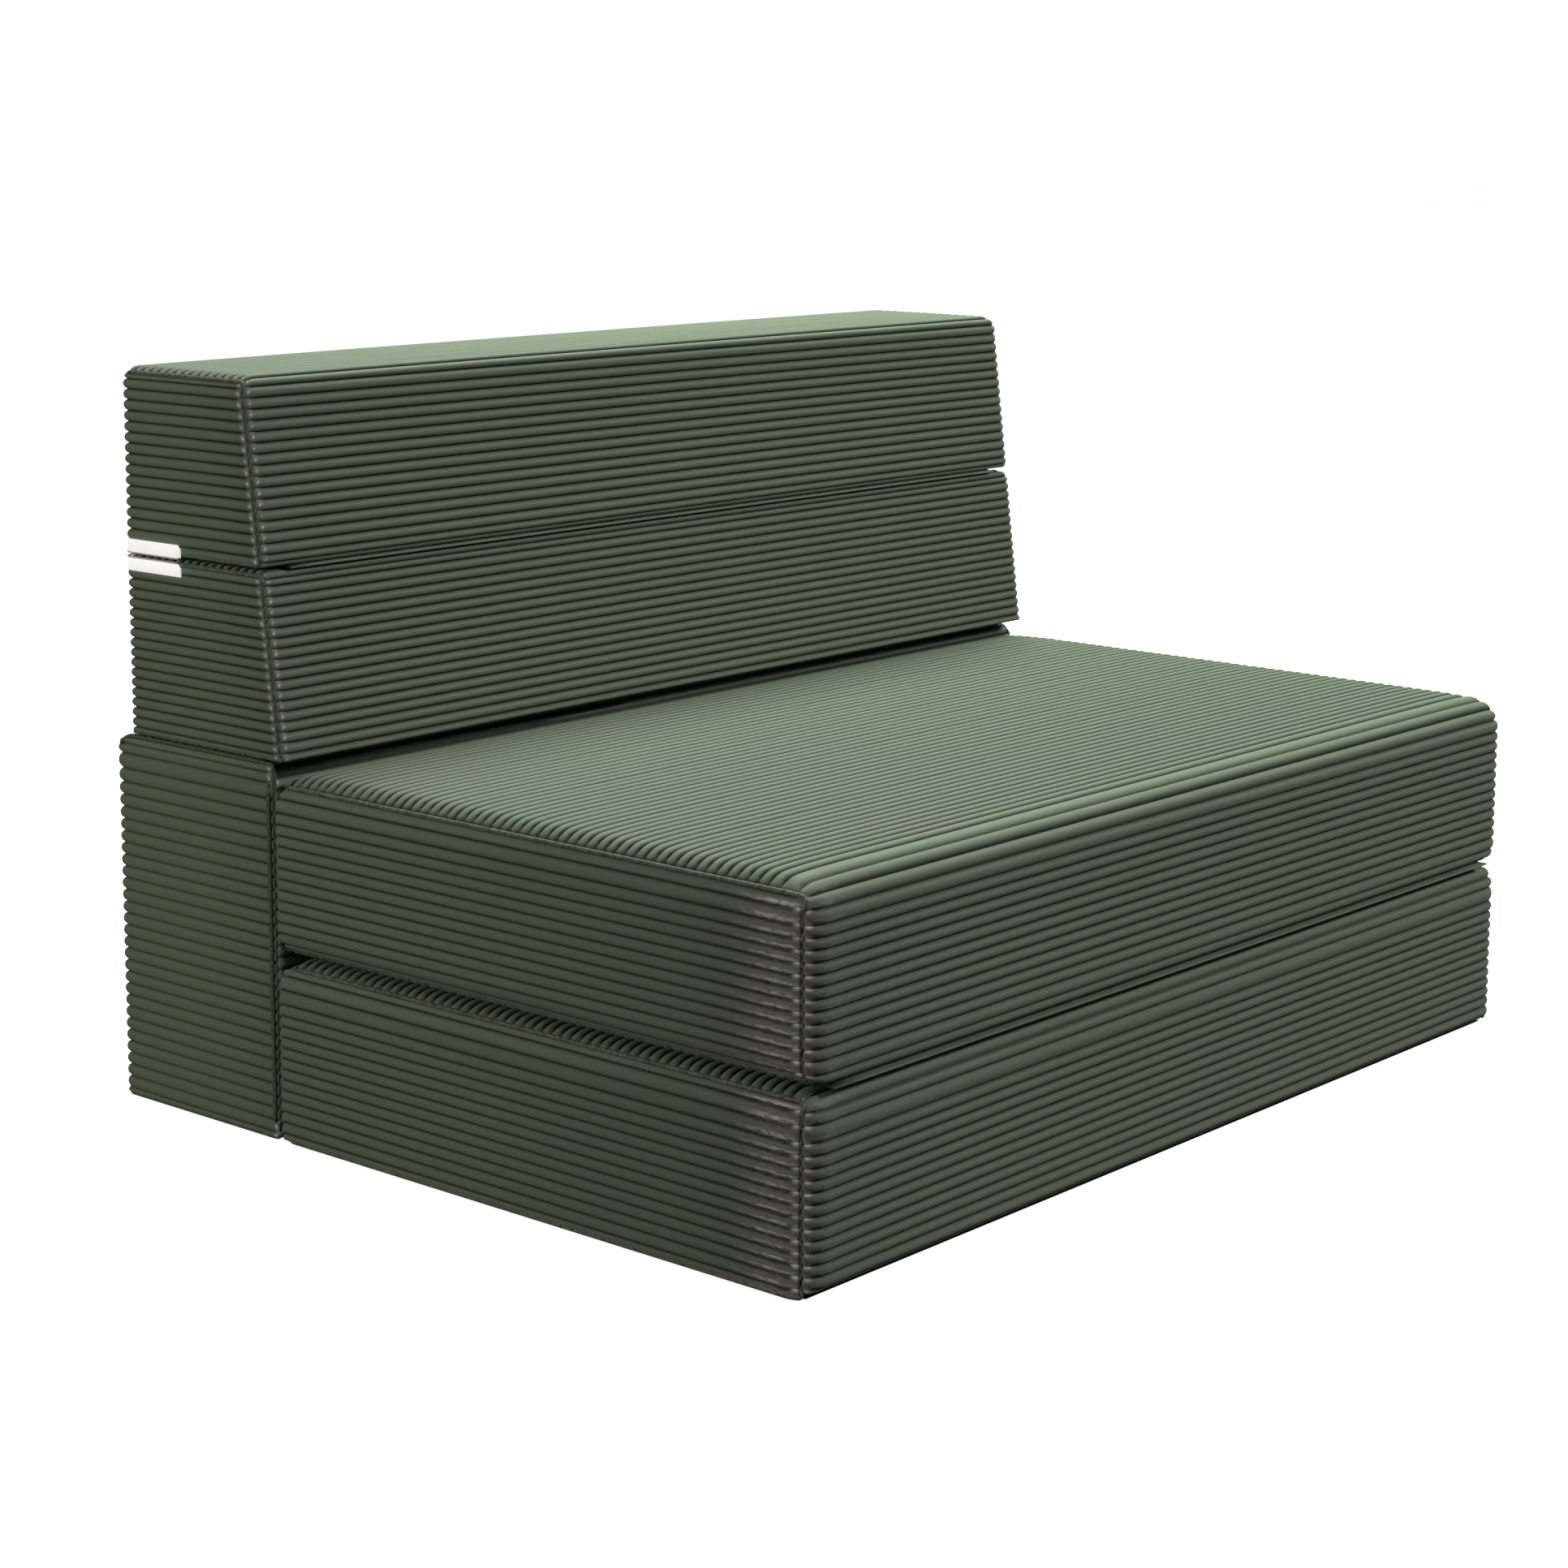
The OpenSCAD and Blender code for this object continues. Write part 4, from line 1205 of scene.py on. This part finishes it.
def make_hinge(joint_name, lower, upper, body):
    """The folded hinge cloth of a joint, which stands for its two leaves."""
    joint = next(j for j in frame["joints"] if j["name"] == joint_name)
    axis_y, axis_z = joint["pos_m"][1:]
    (low, high), upper_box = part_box(lower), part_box(upper)
    low_z, high_z = ((box[0].z + box[1].z) / 2 for box in ((low, high), upper_box))
    radius = (high_z - low_z) / 2
    centre_y = axis_y + radius
    leaf = np.linspace(high.y, centre_y, LEAF_STEPS + 1)
    turns = [math.pi / 2 + math.pi * k / FOLD_STEPS for k in range(1, FOLD_STEPS)]
    line = [(y, low_z) for y in leaf]
    line += [(centre_y + radius * math.cos(turn), axis_z - radius * math.sin(turn)) for turn in turns]
    line += [(y, high_z) for y in leaf[::-1]]
    bm = cloth_strip(line, low.x, high.x)
    cloth = store(bm, joint_name + "_hinge_cloth", None, hinge_cloth, "hinge_cloth", lower, upper)
    reach = radius - CLOTH_THICKNESS / 2
    axis_z - reach
    axis_z + reach
    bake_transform(cloth)
    length = 2 * (high.y - centre_y) + math.pi * radius
    cut_to(cloth, (high.x - low.x, length), [body + "_wrap"])


def make_joining_strip(node, rests_on):
    """A flat strip along the middle of its node, upright or level."""
    low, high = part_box(node)
    start, end = np.array(low[1:]), np.array(high[1:])
    thin = (end - start).argmin()
    length = (end - start).max()
    start[thin] = end[thin] = (start[thin] + end[thin]) / 2
    bm = cloth_strip(np.linspace(start, end, LEAF_STEPS + 1), low.x, high.x)
    strip = store(bm, node + "_cloth", "base", hinge_cloth, "hinge_cloth", node)
    cut_to(strip, (high.x - low.x, length), rests_on)


make_hinge("seat_fold", "seat_hinge_lower_leaf", "seat_hinge_upper_leaf", "seat_top")
make_hinge("upper_back_fold", "back_hinge_lower_leaf", "back_hinge_upper_leaf", "back_upper")
make_joining_strip("seat_joining_strip", ["seat_base_wrap", "rear_base_wrap"])
make_joining_strip("back_joining_strip", ["rear_base_wrap", "back_lower_wrap"])

# %% [markdown]
# ## Zip
#
# The long white zip runs round the rear of the back, along the gap between the two back blocks. Each
# half is a woven tape with a row of moulded teeth along its edge. The tape is a flat tube that follows
# the rounded rear corners; its ends are cut at an angle. The teeth are one small block each, repeated
# along the same way.

# %% Lay the zip
REAR_CORNER = 12 * MM
TAPE_GAP = 0.3 * MM
TAPE_STEP = 9 * MM
TAPE_ROUND = 0.3
TAPE_ACROSS = (-0.5, -0.2, 0.2, 0.5)
TOOTH_PITCH = 2.2 * MM
TOOTH_WIDTH = 1.5 * MM
TOOTH_EDGE = 0.3 * MM
CORD_SHARE = 0.3
CORD_SIDES = 6
END_CUT = 3 * MM
CORNER_STEPS = 7


def zip_way(node):
    """The middle line of a tape or coil from left to right, seen from above: its points, its outward
    directions, the lengths along it and its thickness."""
    low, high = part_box(node)
    inner = blocks["back_lower"]
    thickness = high.y - inner.rear - TAPE_GAP
    offset = TAPE_GAP + thickness / 2
    half, rear = inner.half + offset, inner.rear + offset
    radius = REAR_CORNER + offset
    side_steps = max(2, round((rear - radius - low.y) / TAPE_STEP))
    straight = np.linspace(low.y + END_CUT, rear - radius, side_steps)[:-1]
    way = [(-half, y, -1, 0) for y in (low.y, *straight)]
    for turn in (math.pi / 2 * k / CORNER_STEPS for k in range(CORNER_STEPS + 1)):
        u, v = -math.cos(turn), math.sin(turn)
        way.append((-half + radius * (1 + u), rear - radius * (1 - v), u, v))
    left = way[:]
    steps = round(2 * (half - radius) / TAPE_STEP)
    way += [(-half + radius + 2 * (half - radius) * k / steps, rear, 0, 1) for k in range(1, steps)]
    way += [(-x, y, -u, v) for x, y, u, v in reversed(left)]
    way = np.array(way, float)
    points = way[:, :2]
    along = np.concatenate([[0], np.cumsum(np.hypot(*np.diff(points, axis=0).T))])
    return points, way[:, 2:], along, thickness


def make_tape(node):
    """A tape with its upper corner cut at both ends, as a grid rolled into a flat tube."""
    points, directions, along, thickness = zip_way(node)
    low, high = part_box(node)
    profile = [(-0.5, 0)] + [(out, 1) for out in TAPE_ACROSS] + [(out, 0) for out in TAPE_ACROSS[:0:-1]]
    rows = []
    for (x, y), (u, v), at in zip(points, directions, along):
        cut = max(END_CUT - min(at, along[-1] - at), 0)
        row = []
        for out, rise in profile:
            edge = thickness * TAPE_ROUND if abs(out) == 0.5 else 0
            z = high.z - cut - edge if rise else low.z + edge
            row.append((x + u * out * thickness, y + v * out * thickness, z))
        rows.append(row)
    bm = bmesh.new()
    roll(bm, rows)
    return close_tubes(bm, len(profile)), along[-1], high.z - low.z


def make_teeth(node):
    """The teeth of one half of the zip, evenly spaced along its way, on a thin cord that carries them."""
    points, directions, along, thickness = zip_way(node)
    low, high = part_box(node)
    middle_z = (low.z + high.z) / 2
    bm = bmesh.new()
    count = int((along[-1] - END_CUT * 2) / TOOTH_PITCH)
    for k in range(count):
        at = END_CUT + (k + 0.5) * TOOTH_PITCH
        x, y, u, v = (np.interp(at, along, column) for column in (*points.T, *directions.T))
        turn = Vector((u, v, 0)).to_track_quat("Y", "Z").to_matrix().to_4x4()
        made = bmesh.ops.create_cube(bm, size=1)["verts"]
        bmesh.ops.scale(bm, vec=(TOOTH_WIDTH, thickness, high.z - low.z), verts=made)
        bmesh.ops.transform(bm, matrix=turn, verts=made)
        bmesh.ops.translate(bm, vec=(x, y, middle_z), verts=made)
    round_edges(bm, TOOTH_EDGE, 1)
    cord = [(x, y, middle_z) for x, y in points[1:-1]]
    roll(bm, rings(cord, [thickness * CORD_SHARE] * len(cord), CORD_SIDES))
    return close_tubes(bm, CORD_SIDES), count


for half, body in (("lower", "base"), ("upper", "back_upper")):
    bm, length, height = make_tape(half + "_zip_tape")
    tape = store(bm, half + "_zip_tape_weave", body, tape_weave, "zip_tape", half + "_zip_tape")
    cut_to(tape, (height, length), [f"back_{half}_wrap"])
    bm, count = make_teeth(half + "_zip_coil")
    store(bm, half + "_zip_teeth", body, tooth_plastic, "zip_coil", half + "_zip_coil")
    print(half, "half of the zip:", count, "teeth")

# %% [markdown]
# The slider and its pull stay the construction's own solids. They only get their finish here.

# %% Give the slider and its pull their metal
for node in ("zip_slider", "zip_pull"):
    finishes = nodes[node].data.materials
    finishes.clear()
    finishes.append(cast_metal)
print("metal on the slider and the pull")

# %% [markdown]
# ## Studio
#
# The object was photographed as a cut-out on white: its top is brightly lit, its fronts get little
# light and no light comes up from the floor. So a pale floor lies under it that gives no bounce, a soft
# light hangs overhead, another stands far off at the front right and a weak one at the left.

# %% Light the studio
FLOOR_SIZE = 60
BACKDROP_RADIUS = 29
WHITE = (0.9, 0.9, 0.9)
FLOOR_GLOW = 0.85
AIR_STOPS = (0.35, 0.55, 1)


def studio_piece(name, bm, glow):
    """A piece of the studio, white and glowing, that gives no light to the sofa bed."""
    finish = Finish(name)
    finish.set(Base_Color=rgba(WHITE), Roughness=0.9, Emission_Color=(1, 1, 1, 1), Emission_Strength=glow)
    piece = as_object(bm, name, finish.material)
    piece.visible_diffuse = False
    piece.visible_glossy = False
    piece.visible_shadow = False


def make_studio():
    """The floor and the backdrop, a sphere that is seen from inside."""
    bm = bmesh.new()
    bmesh.ops.create_grid(bm, x_segments=1, y_segments=1, size=FLOOR_SIZE / 2)
    studio_piece("studio_floor", bm, FLOOR_GLOW)
    bm = bmesh.new()
    bmesh.ops.create_uvsphere(bm, u_segments=48, v_segments=24, radius=BACKDROP_RADIUS)
    bmesh.ops.reverse_faces(bm, faces=bm.faces)
    studio_piece("studio_backdrop", bm, 1)


def soft_light(name, place, target, size, power, colour):
    """A square light that shines from its place to its target."""
    data = bpy.data.lights.new(name, "AREA")
    data.shape = "SQUARE"
    data.size = size
    data.energy = power
    data.color = colour
    aim(add_object(name, data), place, Vector(target) - Vector(place))


def set_world(overhead, level, below):
    """Air that is brighter overhead than at eye level and darkest below."""
    world = bpy.data.worlds.new("studio_air")
    world.use_nodes = True
    tree = world.node_tree
    place = tree.nodes.new("ShaderNodeTexCoord")
    split = tree.nodes.new("ShaderNodeSeparateXYZ")
    spread = tree.nodes.new("ShaderNodeMapRange")
    spread.inputs["From Min"].default_value = -1
    ramp = tree.nodes.new("ShaderNodeValToRGB")
    ramp.color_ramp.elements.new(0.5)
    for element, stop, colour in zip(ramp.color_ramp.elements, AIR_STOPS, (below, level, overhead)):
        element.position = stop
        element.color = rgba(colour)
    tree.links.new(place.outputs["Generated"], split.inputs[0])
    tree.links.new(split.outputs["Z"], spread.inputs["Value"])
    tree.links.new(spread.outputs[0], ramp.inputs[0])
    tree.links.new(ramp.outputs[0], tree.nodes["Background"].inputs["Color"])
    bpy.context.scene.world = world


make_studio()
set_world(overhead=(0.23, 0.245, 0.25), level=(0.060, 0.058, 0.058), below=(0.020, 0.018, 0.017))
soft_light("overhead_light", (1.5, 0.9, 3.3), (0, -0.1, 0.3), 1.4, 157, (0.91, 1.0, 0.9))
soft_light("front_light", (4.2, -5.0, 4.2), (0, 0, 0.3), 1.2, 285, (1.0, 0.95, 1.0))
soft_light("left_light", (-3.6, 0.6, 1.3), (-0.4, 0.0, 0.2), 0.9, 38, (1.0, 0.95, 0.88))
bpy.context.scene.view_settings.view_transform = "Standard"
print("lit by", [light.name for light in bpy.data.lights])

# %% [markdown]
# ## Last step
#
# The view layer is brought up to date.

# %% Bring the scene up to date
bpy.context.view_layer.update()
